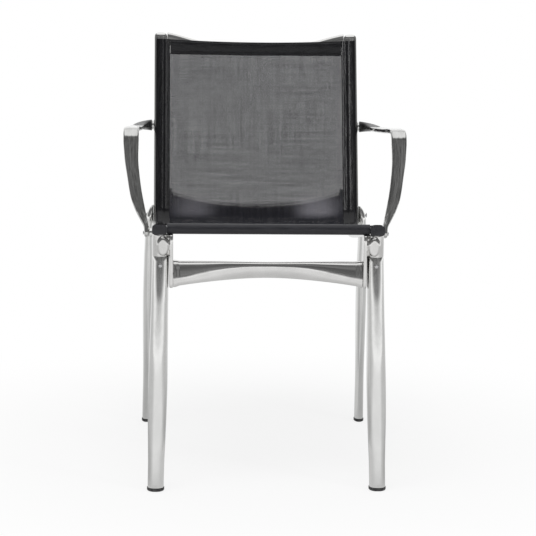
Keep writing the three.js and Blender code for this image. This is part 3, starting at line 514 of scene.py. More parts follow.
MESH = weave("sling_weave", (0.007, 0.007, 0.011), (0.015, 0.015, 0.021))

# Plain CAD solids that stay: fasteners inside the joints and rods inside the hems
solid_finish = {
    "fastener_steel": STEEL_SOLID, "polished_frame": TUBE_SOLID, "black_plastic": ROD, "coated_steel": COATED}
for part in frame["record"]["subparts"]:
    carried = frame["nodes"][part["node"]]
    carried.data.materials.clear()
    carried.data.materials.append(solid_finish.get(part["material_slot"], TUBE_SOLID))

# Side rails


def rail_face(u):
    return RAIL_THICK / 2 * (1 - abs(2 * u / RAIL_WIDE) ** RAIL_SQUARE) ** (1 / RAIL_SQUARE)


SLOT_CENTRE = rail_face(SLOT_SIDE) - SLOT_NECK_DEEP - SLOT_BORE / 2


def rail_outline():
    """The rail's soft oval with the keyhole slot that holds the sling."""
    lips = [math.acos((2 * (SLOT_SIDE + reach) / RAIL_WIDE) ** (RAIL_SQUARE / 2))
            for reach in (SLOT_NECK / 2, -SLOT_NECK / 2)]
    turn = np.linspace(lips[0], lips[1] - 2 * math.pi, 56)
    power = 2 / RAIL_SQUARE
    outer = np.stack([
        RAIL_WIDE / 2 * np.sign(np.cos(turn)) * np.abs(np.cos(turn)) ** power,
        RAIL_THICK / 2 * np.sign(np.sin(turn)) * np.abs(np.sin(turn)) ** power,
    ], axis=1)
    neck = math.asin(SLOT_NECK / SLOT_BORE)
    bore = np.linspace(-neck, neck - 2 * math.pi, 14)
    inner = np.stack([
        SLOT_SIDE + SLOT_BORE / 2 * np.sin(bore),
        SLOT_CENTRE + SLOT_BORE / 2 * np.cos(bore),
    ], axis=1)
    return np.concatenate([outer, inner])


rail_section = rail_outline()
rail_parts = [(rail_section, run) for run in rail_runs(0, RAIL_RUN)]
pair("side_rail", "extrusion", along_rail(rail_parts), TUBE)

# Rail caps, rounded over


def cap(end, direction, shares, tall, square, rounding, material, node_name):
    rows = []
    for rise, grow in shares:
        at, _, out = rail_at(end + direction * (CLEARANCE / 2 + tall * rise))
        rows.append(row(at + RAIL_SIDE * X, X, out, RAIL_WIDE / 2 * grow, RAIL_THICK / 2 * grow, square))
    pair(node_name, "cover", body(rows, 0.8, 0.2, rounding), material)


FRONT_CAP_SQUARE = 4.5
FRONT_CAP_TALL, TOP_CAP_TALL = 3.6, 9.6
FRONT_CAP_SHARES = [(0, 1), (0.5, 1), (1, 0.99)]
TOP_CAP_SHARES = [(0, 1), (0.4, 0.98), (0.75, 0.86), (1, 0.6)]
cap(0, -1, FRONT_CAP_SHARES, FRONT_CAP_TALL, FRONT_CAP_SQUARE, 0.4, CAP, "rail_front_cap")
cap(RAIL_RUN, 1, TOP_CAP_SHARES, TOP_CAP_TALL, RAIL_SQUARE, 0.8, TUBE, "rail_top_cap")

# Edge bands: glossy strips over the rails, with a welded line near the mesh and a bead in the slot
BAND_EDGE = SLOT_SIDE - BAND_REACH
WELD_AT = BAND_EDGE + 3.6
WELD_DEEP = 0.35
WELD_SPREAD = 0.35
BEAD_RADIUS = 2.3
BEAD_NECK = 0.7
NOSE = 0.5


def band_under(u):
    eased = max(0, (BAND_EASE_AT - u) / (BAND_EASE_AT - BAND_EDGE))
    return rail_face(max(u, BAND_EASE_AT)) + CLEARANCE - BAND_DROP * eased


def band_outline(edge=BAND_EDGE):
    over = []
    for u in np.linspace(edge + NOSE, SLOT_SIDE - 0.6, 30):
        weld = WELD_DEEP * math.exp(-((u - WELD_AT) / WELD_SPREAD) ** 2)
        over.append((u, band_under(u) + BAND_THICK - weld))
    shoulder = [(SLOT_SIDE + reach, band_under(SLOT_SIDE) + BAND_THICK - drop)
                for reach, drop in ((0, 0.05), (0.5, 0.3), (0.7, 0.9))]
    start = math.asin(BEAD_NECK / BEAD_RADIUS)
    turn = np.linspace(start, 2 * math.pi - start, 14)
    round_bead = np.column_stack([
        SLOT_SIDE + BEAD_RADIUS * np.sin(turn), SLOT_CENTRE + BEAD_RADIUS * np.cos(turn)])
    under = [(u, band_under(u)) for u in np.linspace(SLOT_SIDE - BEAD_NECK, edge + NOSE, 14)]
    nose = [(edge + NOSE - reach, band_under(edge) + rise)
            for reach, rise in ((0.35, 0.15), (0.5, 0.8), (0.35, 1.4))]
    return np.array([*over, *shoulder, *round_bead, *under, *nose])


BAND_FROM = SLING_FRONT_GAP
BAND_TO = RAIL_RUN - SLING_TOP_GAP
ROD_RUN = SLING_FRONT_GAP + RAIL_THICK / 2
BAND_STEP = ROD_RUN + LOOP_OUTER + CLEARANCE


def band_strip():
    """The strip, which stops at the rail's inner side as far as the front hem's loop reaches."""
    narrow, wide = band_outline(-RAIL_WIDE / 2), band_outline()
    parts = [(narrow, run) for run in (BAND_FROM, mix(BAND_FROM, BAND_STEP, 0.5), BAND_STEP)]
    parts += [(wide, run) for run in rail_runs(BAND_STEP + 0.5, BAND_TO, 8)]
    return along_rail(parts)


bands = pair("edge_band", "strip", band_strip(), VINYL, 60)

# The sling and its hems
SLING_HALF = RAIL_SIDE + BAND_EDGE - CLEARANCE
SLING_LEVEL = band_under(BAND_EDGE) + BAND_THICK / 2


def sling_spot(side, run, lift=0.0):
    at, _, out = rail_at(run)
    back = smooth_step(run, SEAT_RUN, SEAT_RUN + BEND_RUN)
    sag = mix(SEAT_SAG, BACK_SAG, back) * (1 - min(1, (side / SLING_HALF) ** 2))
    return at + side * X + out * (SLING_LEVEL - sag + lift)


MESH_UNDER = 1.6
MESH_FROM = SLING_FRONT_GAP + FRONT_HEM_TALL - MESH_UNDER
MESH_TO = RAIL_RUN - SLING_TOP_GAP - TOP_HEM_TALL + MESH_UNDER


def mesh_sheet():
    sides = np.linspace(-SLING_HALF - MESH_UNDER, SLING_HALF + MESH_UNDER, 49)
    runs = rail_runs(MESH_FROM, MESH_TO, 10)
    points, grain = [], []
    laid = 0.0
    for k, run in enumerate(runs):
        if k:
            laid += np.linalg.norm(sling_spot(SLING_HALF, run) - sling_spot(SLING_HALF, runs[k - 1]))
        for side in sides:
            points.append(sling_spot(side, run))
            grain.append((side, laid, 0))
    count = len(sides)
    faces = [(a, a + 1, a + 1 + count, a + count)
             for ring in range(len(runs) - 1) for a in range(ring * count, ring * count + count - 1)]
    return np.array(points), faces, np.array(grain), laid


spots, sides, grain, mesh_long = mesh_sheet()
sling = new_piece("sling_mesh_sheet", spots, sides, grain, MESH, ["sling_mesh"])


STITCH_DEEP, STITCH_SPREAD = 0.4, 0.6
TOP_HEM_CROWN, FRONT_TAIL_CROWN = 0.9, 0.2


def strip(start, tall, thick, dip, crown, seams):
    """A folded hem across the sling, crowned a little, with its stitching pressed in. Its far edge dips."""
    rings, grain = [], []
    for side in np.linspace(-SLING_HALF, SLING_HALF, 61):
        middle = 1 - (side / SLING_HALF) ** 2
        outline = oval(tall / 2, thick / 2, 6, 72)
        ring = []
        for u, v in outline:
            puff = crown * (1 - (2 * u / tall) ** 2) * np.sign(v)
            dents = [STITCH_DEEP * math.exp(-((u - seam) / STITCH_SPREAD) ** 2) for seam in seams]
            pressed = sum(dents) * np.sign(v)
            fall = middle * dip * (0.5 + u / tall)
            ring.append(sling_spot(side, start + tall / 2 + u - fall, v + puff - pressed))
        rings.append(np.array(ring))
        grain.append(np.column_stack([outline, np.full(len(outline), side)]))
    points, faces = rings_to_mesh(rings)
    return points, faces, np.concatenate(grain)


TOP_HEM = (RAIL_RUN - SLING_TOP_GAP - TOP_HEM_TALL, TOP_HEM_TALL, HEM_THICK, TOP_HEM_DIP)
top_fold = strip(*TOP_HEM, TOP_HEM_CROWN, (-12, 12.5))
top_hem = single("sling_top_hem", "fold", top_fold, VINYL, 60)

rod_at, _, rod_out = rail_at(ROD_RUN)
LOOP_HALF = RAIL_INNER - 0.05
loop_rows = [
    row(rod_at + FRONT_ROD_RISE * rod_out + side * X, Y, Z, LOOP_OUTER, LOOP_OUTER, 2)
    for side in (-LOOP_HALF, LOOP_HALF)]
front_tail = strip(
    ROD_RUN - 1, FRONT_HEM_TALL - RAIL_THICK / 2 + 1, HEM_THICK, 0, FRONT_TAIL_CROWN, (4.5,))
front_hem = single(
    "sling_front_hem", "loop", joined(body(loop_rows, 6, 0.1, 0.1), front_tail), HEM, 60)

# Front legs
FRONT_LEG_TOP = SEAT_FRONT_HEIGHT - 48
FRONT_TOP = np.array([190.0, 15, FRONT_LEG_TOP])
LEG_FOOT = 6.3
FRONT_FOOT = np.array([197.0, -36, LEG_FOOT])
FRONT_LEG_WIDE, FRONT_LEG_DEEP = 34, 46
LEG_SQUARE = 2.3
FRONT_LEG_SHARES = [
    (0, 0.84, 0.62), (0.09, 0.84, 0.66), (0.18, 0.89, 0.72), (0.3, 0.97, 0.82),
    (0.45, 1, 0.93), (0.62, 0.96, 1), (0.8, 0.9, 1), (1, 0.88, 0.93),
]
front_leg_rows = []
for rise, wide, deep in FRONT_LEG_SHARES:
    half_wide, half_deep = FRONT_LEG_WIDE * wide / 2, FRONT_LEG_DEEP * deep / 2
    front_leg_rows.append(row(mix(FRONT_FOOT, FRONT_TOP, rise), X, Y, half_wide, half_deep, LEG_SQUARE))
pair("front_leg", "tube", body(front_leg_rows, 6, 0.5, 0.5), TUBE)

# Rear legs, whose rounded tops lie against the rails
REAR_LEG_TOP = BEND_CENTRE[2] - 13.3
REAR_FOOT = np.array([217.5, BEND_START[1] + 96.2, LEG_FOOT])
REAR_LEG_WIDE, REAR_LEG_DEEP = 21, 38
REAR_SOLID_TOP = 51
REAR_LEG_SHARES = [
    (0, 0.86, 0.76), (0.19, 0.82, 0.84), (0.4, 0.93, 0.95), (0.56, 1, 1), (0.75, 0.88, 1),
    (0.84, 0.77, 1), (0.92, 0.73, 0.97), (0.947, 0.7, 0.92), (0.965, 0.6, 0.84), (0.98, 0.47, 0.72),
    (0.992, 0.3, 0.56), (1, 0.14, 0.4),
]
rear_top = np.array([RAIL_OUTER + CLEARANCE + REAR_LEG_WIDE * 0.77 / 2, BEND_START[1] + 64.2, REAR_LEG_TOP])
rear_leg_rows = []
for rise, wide, deep in REAR_LEG_SHARES:
    at = mix(REAR_FOOT, rear_top, rise)
    half = REAR_LEG_WIDE * wide / 2
    if at[2] > REAR_LEG_TOP - REAR_SOLID_TOP:
        at[0] = RAIL_OUTER + CLEARANCE + half
    rear_leg_rows.append(row(at, X, Y, half, REAR_LEG_DEEP * deep / 2, LEG_SQUARE))
pair("rear_leg", "tube", body(rear_leg_rows, 3, 0.5, 1.2), TUBE)


# Glides under the legs
def glide_rows(leg):
    foot = leg[0]
    rows = []
    for height, grow in ((0, -2), (0.5, -0.8), (1.4, 0.6), (2.4, 1), (LEG_FOOT - 0.2, 1)):
        at = np.array([foot[0], foot[1], height])
        rows.append(row(at, X, Y, foot[9] + grow, foot[10] + grow, LEG_SQUARE))
    return rows


for which, leg in (("front", front_leg_rows), ("rear", rear_leg_rows)):
    pair(f"{which}_glide", "foot", body(glide_rows(leg), 0.8, 0.1, 0.5), GLIDE)


# Castings: several solids melted into one skin with soft fillets
VOXEL = 0.9


def casting(node_name, shapes, soften):
    for side in ("right", "left"):
        points, faces, grain = joined(*shapes)
        if side == "left":
            points, faces = mirrored(points, faces)
        node_here = f"{side}_{node_name}"
        piece = new_piece(
            f"{node_here}_casting", points, faces, grain, CAST, [node_here])
        melt = piece.modifiers.new("melt", "REMESH")
        melt.mode = "VOXEL"
        melt.voxel_size = VOXEL * METRES
        melt.use_smooth_shade = True
        soft = piece.modifiers.new("soft", "SMOOTH")
        soft.factor = 0.5
        soft.iterations = soften
        flat = bpy.data.meshes.new_from_object(piece.evaluated_get(bpy.context.evaluated_depsgraph_get()))
        piece.modifiers.clear()
        old = piece.data
        piece.data = flat
        bpy.data.meshes.remove(old)
        flat.name = piece.name
        spots = np.zeros(len(flat.vertices) * 3)
        flat.vertices.foreach_get("co", spots)
        lay = flat.attributes.get("grain") or flat.attributes.new("grain", "FLOAT_VECTOR", "POINT")
        lay.data.foreach_set("vector", (spots / METRES).astype(np.float32))


HEAD_TOP = SEAT_FRONT_HEIGHT - RAIL_THICK / 2 + 1
HEAD_DEPTH = FRONT_TOP[1]
PLATE_INNER = RAIL_SIDE - 24
FRONT_BAR_TOP = SEAT_FRONT_HEIGHT - 57
FRONT_BAR_END, FRONT_BAR_MID = 46, 31
PLATE_BOTTOM = FRONT_BAR_TOP - FRONT_BAR_END - 1.2
HEAD_SHARES = [(0, 1), (0.6, 1), (1, 0.97)]
half_wide, half_deep = front_leg_rows[-1][9:11]
head_rows = []
for rise, grow in HEAD_SHARES:
    at = np.array([FRONT_TOP[0], HEAD_DEPTH, mix(FRONT_LEG_TOP + CLEARANCE, HEAD_TOP, rise)])
    head_rows.append(row(at, X, Y, half_wide * grow, half_deep * grow, LEG_SQUARE))
dome_at = np.array([FRONT_TOP[0] - 4, HEAD_DEPTH - half_deep + 4, mix(FRONT_LEG_TOP, HEAD_TOP, 0.5)])
DOME_HALF_WIDE, DOME_HALF_TALL, DOME_REACH = 11, 16.5, 8
DOME_POWER = 6
DOME_LEAST = 0.01
dome_rows = []
for rise in np.linspace(-0.998, 0.998, 32):
    round_share = math.sqrt(1 - rise ** 2)
    flat_share = (1 - abs(rise) ** DOME_POWER) ** (1 / DOME_POWER)
    dome_rows.append(row(
        dome_at + rise * DOME_HALF_TALL * Z, X, Y,
        DOME_HALF_WIDE * round_share + DOME_LEAST, DOME_REACH * flat_share + DOME_LEAST,
        mix(2, 2.9, round_share)))
PLATE_THICK, PLATE_HALF_DEEP, PLATE_SQUARE = 6.4, 17, 7
plate_half = (HEAD_TOP - PLATE_BOTTOM) / 2
plate_middle = PLATE_BOTTOM + plate_half
plate_rows = [
    row(np.array([side, HEAD_DEPTH, plate_middle]), Y, Z, PLATE_HALF_DEEP, plate_half, PLATE_SQUARE)
    for side in (PLATE_INNER, PLATE_INNER + PLATE_THICK)]
NECK_HALF_DEEP, NECK_SQUARE, NECK_INSET = 12, 6, 3
neck_middle = mix(FRONT_LEG_TOP + 1, HEAD_TOP, 0.5)
neck_half = (HEAD_TOP - FRONT_LEG_TOP) / 2 - 1
neck_rows = [
    row(np.array([side, HEAD_DEPTH, neck_middle]), Y, Z, NECK_HALF_DEEP, neck_half, NECK_SQUARE)
    for side in (PLATE_INNER + NECK_INSET, FRONT_TOP[0])]
casting("front_leg_head", [
    body(head_rows, 3, 1.5, 0.5),
    body(dome_rows, 1, 0.01, 0.01),
    body(plate_rows, 2, 1.2, 1.2),
    body(neck_rows, 3, 0.5, 0.5),
], 6)

# Rear brackets
BRACKET_RUN = SEAT_RUN + BEND_RUN + 8
BRACKET_TALL, BRACKET_DEEP = 66, 24
BRACKET_HALF_WIDE, BRACKET_INSET, BRACKET_SQUARE = 18.4, 5.5, 4
BRACKET_SHARES = [(-0.5, 0.35), (-0.42, 0.8), (-0.25, 1), (0, 1), (0.25, 1), (0.42, 0.8), (0.5, 0.3)]
bracket_rows = []
for share, deep in BRACKET_SHARES:
    at, along, out = rail_at(BRACKET_RUN + BRACKET_TALL * share)
    half = BRACKET_DEEP * deep / 2
    centre = at + (RAIL_SIDE - BRACKET_INSET) * X - out * (RAIL_THICK / 2 - 0.6 + half)
    bracket_rows.append(row(centre, X, out, BRACKET_HALF_WIDE, half, BRACKET_SQUARE))
casting("rear_bracket", [body(bracket_rows, 2, 0.8, 0.8)], 4)


COLLAR_FROM, COLLAR_FULL = 7.4, 6.6


# Crossbars: squarer at the ends than in the middle, with a section that turns along them
def crossbar(
        half, end_tall, mid_tall, thick, collar, across, up, place, square_end, square_mid, lean, mid_lean):
    """lean and mid_lean are the section's turn in degrees at the ends and in the middle."""
    rows = []
    for share in np.linspace(-1, 1, 61):
        middle = 1 - share ** 2
        rim = collar * smooth_step(abs(share) * half, half - COLLAR_FROM, half - COLLAR_FULL)
        tall = mix(end_tall, mid_tall, middle) + 2 * rim
        square = mix(square_end, square_mid, smooth_step(middle, 0, 0.9))
        turn = math.radians(mix(lean, mid_lean, middle ** 3))
        leaned = across * math.cos(turn) - up * math.sin(turn)
        raised = up * math.cos(turn) + across * math.sin(turn)
        rows.append(row(place(share * half, middle), leaned, raised, thick / 2 + rim, tall / 2, square))
    return body(rows, 2.2, 0.6, 0.6, 56)


BAR_HALF = PLATE_INNER - CLEARANCE
FRONT_BAR_THICK, REAR_BAR_THICK, BAR_COLLAR = 18, 14, 1.2
REAR_BAR_END, REAR_BAR_MID, REAR_BAR_DIP = 56, 36, 14


def front_bar_place(side, middle):
    return np.array([side, HEAD_DEPTH, FRONT_BAR_TOP - mix(FRONT_BAR_END, FRONT_BAR_MID, middle) / 2])


front_bar = crossbar(
    BAR_HALF, FRONT_BAR_END, FRONT_BAR_MID, FRONT_BAR_THICK, BAR_COLLAR, Y, Z, front_bar_place,
    2.4, 2.0, 14, -20)
single("front_crossbar", "casting", front_bar, CAST)

rear_at, rear_along, rear_out = rail_at(BRACKET_RUN)
rear_centre = rear_at - rear_out * (RAIL_THICK / 2 + CLEARANCE + BRACKET_DEEP / 2)
rear_down = -REAR_BAR_DIP * np.array([0, math.sin(RECLINE), math.cos(RECLINE)])
rear_bar = crossbar(
    BAR_HALF, REAR_BAR_END, REAR_BAR_MID, REAR_BAR_THICK, BAR_COLLAR, rear_out, rear_along,
    lambda side, middle: rear_centre + side * X + middle * rear_down,
    3.0, 2.4, 0, 0)
single("rear_crossbar", "casting", rear_bar, CAST)

TOP_END, TOP_MID, TOP_THICK, TOP_DIP, TOP_BOW, TOP_EASE = 27, 14, 11, 25, 6, 1.4
top_at, top_along, top_out = rail_at(RAIL_RUN + 12 - TOP_END / 2)
top_centre = top_at - top_out * 3.5
top_sink = TOP_DIP * top_along + TOP_BOW * top_out
top_bar = crossbar(
    RAIL_INNER - CLEARANCE, TOP_END, TOP_MID, TOP_THICK, 0, top_out, top_along,
    lambda side, middle: top_centre + side * X - middle ** TOP_EASE * top_sink,
    2.4, 2.4, 14, 0)
single("top_crossbar", "casting", top_bar, CAST)

# Arms
ARM_WIDE, ARM_THICK, ARM_SQUARE = 28, 9.6, 4.5
ARM_FRONT_SIDE = RAIL_SIDE + 52.5
ARM_REAR_SIDE = RAIL_SIDE + 44
ARM_REAR_DEPTH = BEND_START[1] + 48.2
ARM_FRONT_HEIGHT = SEAT_FRONT_HEIGHT + 162
ARM_REAR_HEIGHT = ARM_FRONT_HEIGHT - 18
ARM_BEND_RADIUS = 22
ARM_RAKE = math.radians(20)
ARM_PAD_GAP, ARM_PAD_THICK = 5.7, 9


def behind_centre(run):
    at, _, out = rail_at(run)
    return at - out * 4.2


arm_pad = behind_centre(86 / math.cos(SEAT_FALL))
pad_side = RAIL_OUTER + ARM_PAD_GAP + ARM_PAD_THICK / 2
REST_SHARES = [(0, 0.9, 0, 0), (0.25, 1, 0.35, 1), (0.55, 1, 0.72, 1), (1, 1, 1, 1)]
BLADE_SHARES = [
    (0.2, 0.03, 0.9, 1), (0.42, 0.18, 0.81, 1), (0.62, 0.37, 0.78, 1.08), (0.76, 0.6, 0.66, 1.35),
    (0.87, 0.83, 0.46, 1.8), (0.95, 0.985, 0.33, 2.1), (1.01, 1, 0.32, 2), (1.04, 1, 0.27, 1.4),
]


def arm_row(at, turn, wide, thick):
    return row(at, X, np.array([0, math.sin(turn), math.cos(turn)]), wide / 2, thick / 2, ARM_SQUARE)


def arm_rows():
    corner_depth = arm_pad[1] + (ARM_FRONT_HEIGHT - arm_pad[2]) * math.tan(ARM_RAKE)
    corner = np.array([ARM_FRONT_SIDE, corner_depth, ARM_FRONT_HEIGHT])
    level = math.atan2(ARM_FRONT_HEIGHT - ARM_REAR_HEIGHT, ARM_REAR_DEPTH - corner[1])
    bend = math.pi / 2 - ARM_RAKE + level
    back_along = np.array([0, math.cos(level), -math.sin(level)])
    bend_from = corner + ARM_BEND_RADIUS * math.tan(bend / 2) * back_along
    rear_end = np.array([ARM_REAR_SIDE, ARM_REAR_DEPTH, ARM_REAR_HEIGHT])
    rows = []
    for along, wide, bow, tilt in REST_SHARES:
        at = mix(rear_end, bend_from, along)
        at[0] = mix(ARM_REAR_SIDE, ARM_FRONT_SIDE, bow)
        rows.append(arm_row(at, level * tilt, ARM_WIDE * wide, ARM_THICK))
    centre = bend_from - unit(rows[-1][6:9]) * ARM_BEND_RADIUS
    steps = 8
    for k in range(steps):
        rows.append(arm_row(centre, level - bend * (k + 1) / steps, ARM_WIDE, ARM_THICK))
        rows[-1][:3] += rows[-1][6:9] * ARM_BEND_RADIUS
    bend_to = rows[-1][:3].copy()
    for fall, inward, wide, thick in BLADE_SHARES:
        at = mix(bend_to, arm_pad, fall)
        at[0] = mix(ARM_FRONT_SIDE, pad_side, inward)
        rows.append(arm_row(at, ARM_RAKE - math.pi / 2, ARM_WIDE * wide, ARM_THICK * thick))
    return rows


pair("arm", "bar", body(arm_rows(), 3, 0.6, 1.6, 52), ARM)

# Spacers and bosses
spacer_long = ARM_PAD_GAP - 2 * CLEARANCE
spacer_at = np.array([RAIL_OUTER + CLEARANCE, arm_pad[1], arm_pad[2]])
pair("arm_spacer", "ring", lathe(
    [(7, 0), (7.6, 0.15), (8, 0.6), (8, spacer_long - 0.6), (7.6, spacer_long - 0.15), (7, spacer_long)],
    spacer_at, X), TUBE)
rail_top_z = rail_at(RAIL_RUN)[0][2]
arm_root = behind_centre(RAIL_RUN - (rail_top_z - ARM_REAR_HEIGHT) / math.cos(RECLINE))
boss_at = np.array([RAIL_OUTER + CLEARANCE, arm_root[1], arm_root[2]])
BOSS_THICK = 3.4
BOSS_PROFILE = [(8.2, 0), (8.8, 0.2), (9, 0.6), (9, 2.7), (8.7, 3.2), (8, BOSS_THICK)]
pair("arm_boss", "ring", lathe(BOSS_PROFILE, boss_at, X), TUBE)

# Black sleeves that turn from the rail's side to the arm
SLEEVE_WIDE, SLEEVE_TALL, SLEEVE_SQUARE = 21, 22, 2.6
sleeve_start = boss_at + (BOSS_THICK + CLEARANCE) * X
sleeve_end = np.array([ARM_REAR_SIDE, ARM_REAR_DEPTH + CLEARANCE, ARM_REAR_HEIGHT])
sleeve_rows = []
for share in np.linspace(0, 1, 21):
    turn = share * math.pi / 2
    at = np.array([
        mix(sleeve_start[0], sleeve_end[0], math.sin(turn)),
        mix(sleeve_start[1], sleeve_end[1], 1 - math.cos(turn)),
        mix(sleeve_start[2], sleeve_end[2], share),
    ])
    across = np.array([math.sin(turn), math.cos(turn), 0])
    sleeve_wide = mix(SLEEVE_WIDE, ARM_WIDE * 0.9, share)
    sleeve_tall = mix(SLEEVE_TALL, ARM_THICK, share)
    sleeve_rows.append(row(at, across, Z, sleeve_wide / 2, sleeve_tall / 2, SLEEVE_SQUARE))
pair("arm_sleeve", "moulding", body(sleeve_rows, 2, 0.8, 0.6, 52), SLEEVE)


# Fasteners that show: domed heads with a hexagon socket
SHANK_RADIUS = 1.8


def button(node_name, axis, head, tall):
    low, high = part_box(f"right_{node_name}")
    low = np.array(low) / METRES + [0, ROW_SHIFT, 0]
    high = np.array(high) / METRES + [0, ROW_SHIFT, 0]
    long = abs(np.dot(high - low, axis))
    start = (low + high) / 2 - axis * long / 2
    radius, socket = head / 2, head * 0.26
    profile = [
        (SHANK_RADIUS, 0), (SHANK_RADIUS, long - tall), (radius, long - tall), (radius, long - tall * 0.7),
        (radius * 0.93, long - tall * 0.35), (radius * 0.75, long - tall * 0.1), (radius * 0.62, long),
        (socket * 1.1, long), (socket, long - tall * 0.12), (socket, long - tall * 0.65),
        (socket * 0.3, long - tall * 0.7),
    ]
    pair(node_name, "button", lathe(profile, start, axis, 36, (8, 9)), STEEL, 35)


button("rear_leg_bolt", X, 9.5, 1.8)
button("front_leg_screw", -Y, 7, 1.4)
button("arm_pad_screw", X, 7, 1.4)

# The floor, the light and the dark side of the studio
FLOOR_REACH = 14
floor_mesh = bpy.data.meshes.new("floor")
floor_corners = [(x * FLOOR_REACH, y * FLOOR_REACH, 0) for x, y in ((-1, -1), (1, -1), (1, 1), (-1, 1))]
floor_mesh.from_pydata(floor_corners, [], [(0, 1, 2, 3)])
floor = put_in_scene("floor", floor_mesh)


def seen(tree):
    """1 for what the camera sees straight, through the mesh or in a reflection."""
    path = node(tree, "LightPath").outputs
    mirrored_or_through = calc(tree, "ADD", path["Is Glossy Ray"], path["Is Transmission Ray"])
    total = calc(tree, "ADD", path["Is Camera Ray"], mirrored_or_through)
    return calc(tree, "MINIMUM", total, 1.0)


def glow(tree, strength):
    return node(tree, "Emission", {"Color": (1, 1, 1, 1), "Strength": strength}).outputs[0]


floor_material, tree, output = new_material("pale_floor")
diffuse = node(tree, "BsdfDiffuse", {"Color": (0.86, 0.86, 0.86, 1)}).outputs[0]
white = glow(tree, 1.0)
place = node(tree, "TexCoord").outputs["Object"]
away = node(tree, "VectorMath", {0: place}, operation="LENGTH").outputs["Value"]
sideways = calc(tree, "ABSOLUTE", node(tree, "SeparateXYZ", {0: place}).outputs["X"])
beside = calc(tree, "DIVIDE", sideways, away)
whiter = smooth(tree, away, 0.3, 1.0, 0.82, 1.0)
shown = node(tree, "MixShader", {0: whiter, 1: diffuse, 2: white}).outputs[0]
# What the polished metal reflects: the floor glows for reflections as pale paper in front of the chair, with
# painted shade that dims the glow near the chair and beside it
reflected_glow_painted_shade = calc(
    tree, "MULTIPLY", smooth(tree, away, 0.3, 1.1, 0.62, 0.82), smooth(tree, beside, 0.5, 0.92, 1.0, 0.72))
path = node(tree, "LightPath").outputs
# Reflections see the floor's glow with its painted shade; other bounces see the plain diffuse floor
bounced = node(tree, "MixShader", {0: path["Is Glossy Ray"], 1: diffuse, 2: glow(tree, reflected_glow_painted_shade)}).outputs[0]
surface = node(tree, "MixShader", {0: path["Is Camera Ray"], 1: bounced, 2: shown}).outputs[0]
finish_with(tree, output, surface)
floor_mesh.materials.append(floor_material)

world = bpy.data.worlds.new("studio")
bpy.context.scene.world = world
world.use_nodes = True
tree = world.node_tree
tree.nodes.clear()
strength = ramp(tree, seen(tree), 0.0, 1.0, 0.55, 1.0)
background = node(tree, "Background", {"Color": (1, 1, 1, 1), "Strength": strength})
tree.links.new(background.outputs[0], node(tree, "OutputWorld").inputs["Surface"])


# The studio round the chair, which only reflections see: dim in front, pale low down, behind and overhead
STUDIO_RADIUS = 7.0
STUDIO_TURNS, STUDIO_RISES = 48, 16
dome_mesh = bpy.data.meshes.new("studio_dome")
dome_rings = []
for rise in np.linspace(0, math.pi / 2 - 0.02, STUDIO_RISES):
    turns = np.linspace(0, 2 * math.pi, STUDIO_TURNS, endpoint=False)
    level = math.cos(rise) * np.column_stack([np.sin(turns), np.cos(turns)])
    dome_rings.append(STUDIO_RADIUS * np.column_stack([level, np.full(STUDIO_TURNS, math.sin(rise))]))
dome_points, dome_faces = rings_to_mesh(dome_rings, capped=False)
dome_mesh.from_pydata(dome_points.tolist(), [], dome_faces)
dome = put_in_scene("studio_dome", dome_mesh)
dome.location = (0, 0, 0.02)
dome.visible_camera = False
dome.visible_diffuse = False
dome.visible_shadow = False
dome.visible_transmission = False
material, tree, output = new_material("studio_dome")
place = node(tree, "TexCoord").outputs["Object"]
ahead = node(tree, "VectorMath", {0: place}, operation="NORMALIZE").outputs[0]
split = node(tree, "SeparateXYZ", {0: ahead}).outputs
front = calc(tree, "MULTIPLY", split["Y"], -1.0)
below_top = smooth(tree, split["Z"], 0.76, 0.88, 1.0, 0.0)
wall = calc(tree, "MULTIPLY", smooth(tree, split["Z"], 0.065, 0.16), below_top)
room = calc(tree, "MULTIPLY", wall, smooth(tree, front, -0.75, -0.35))
streaks = noise(tree, ahead, 7.0, (1, 1, 0.12), 3.0, 0.6)
dim = ramp(tree, streaks, 0.38, 0.64, 0.06, 0.24)
tone = calc(tree, "SUBTRACT", 1.0, calc(tree, "MULTIPLY", room, calc(tree, "SUBTRACT", 1.0, dim)))
finish_with(tree, output, glow(tree, tone))
dome_mesh.materials.append(material)


def place_lamp(name, lamp, at, aim, power):
    lamp.energy = power
    holder = put_in_scene(name, lamp)
    holder.location = at
    holder.rotation_mode = "QUATERNION"
    holder.rotation_quaternion = (Vector(aim) - Vector(at)).to_track_quat("-Z", "Y")
    return holder


def area_light(name, at, aim, size, power):
    lamp = bpy.data.lights.new(name, "AREA")
    lamp.shape = "RECTANGLE"
    lamp.size, lamp.size_y = size
    return place_lamp(name, lamp, at, aim, power)


def light_only(holder, piece):
    """The lamp lights this piece alone."""
    lit = bpy.data.collections.new(holder.name)
    lit.objects.link(piece)
    holder.light_linking.receiver_collection = lit


area_light("top_softbox", (-0.3, -0.9, 3.2), (0, 0, 0.4), (2.2, 1.6), 42)
area_light("right_strip", (2.6, -2.2, 1.5), (0, 0, 0.5), (0.5, 1.8), 16)
for name in ("top_softbox", "right_strip"):
    bpy.data.objects[name].visible_glossy = False
sling.visible_glossy = False

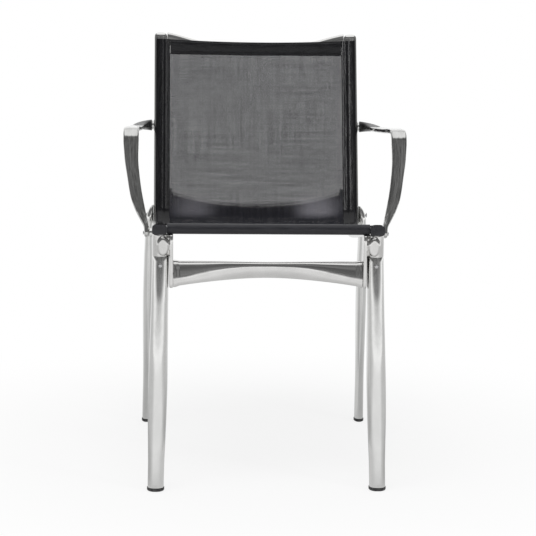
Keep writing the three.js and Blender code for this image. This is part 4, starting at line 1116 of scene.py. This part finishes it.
# Sheen on the bands and the top hem, each from a strip of its own
for name, beside, power, piece in (
        ("left_band_strip", 0.95, 5, bands["left"]), ("right_band_strip", 0.05, 15, bands["right"]),
        ("top_hem_strip", 0.2, 2, top_hem)):
    light_only(area_light(name, (beside, -5.0, 3.85), (0, 0.2, 0.6), (0.42, 1.3), power), piece)

# The two pale patches low on the sling
PATCH_CONE = math.radians(2.1)
PATCH_FLATTENED = 0.17
for name, spot, place_at, power in (
        ("left_seat_glow", (-0.126, 0.19, 0.440), (-0.06, -2.0, 2.48), 3300),
        ("right_seat_glow", (0.122, 0.19, 0.440), (0.16, -2.0, 2.48), 5600)):
    lamp = bpy.data.lights.new(name, "SPOT")
    lamp.color = (1, 0.98, 0.9)
    lamp.spot_size = PATCH_CONE
    lamp.spot_blend = 1.0
    lamp.shadow_soft_size = 0.02
    holder = place_lamp(name, lamp, place_at, spot, power)
    holder.scale = (1, PATCH_FLATTENED, 1)
    light_only(holder, sling)

# The camera at the photograph's place
CAMERA_AT = (-0.1853, -3.4459, 0.9014)
CAMERA_YAW = math.radians(3.31)
CAMERA_FALL = math.radians(9.04)
CAMERA_ROLL = math.radians(0.77)
IMAGE_WIDE = 536
FOCAL_PIXELS = 1835.1
SENSOR_WIDE = 36

ahead = np.array([
    math.sin(CAMERA_YAW) * math.cos(CAMERA_FALL),
    math.cos(CAMERA_YAW) * math.cos(CAMERA_FALL),
    -math.sin(CAMERA_FALL),
])
level = np.array([math.cos(CAMERA_YAW), -math.sin(CAMERA_YAW), 0])
above = np.cross(level, ahead)
camera_x = level * math.cos(CAMERA_ROLL) + above * math.sin(CAMERA_ROLL)
camera_y = above * math.cos(CAMERA_ROLL) - level * math.sin(CAMERA_ROLL)
lens = bpy.data.cameras.new("camera")
lens.sensor_width = SENSOR_WIDE
lens.lens = FOCAL_PIXELS * SENSOR_WIDE / IMAGE_WIDE
lens.clip_end = 60
camera = put_in_scene("camera", lens)
turn = Matrix([camera_x, camera_y, -ahead]).transposed()
camera.matrix_world = Matrix.Translation(CAMERA_AT) @ turn.to_4x4()
bpy.context.scene.camera = camera

bpy.context.scene.view_settings.view_transform = "Standard"
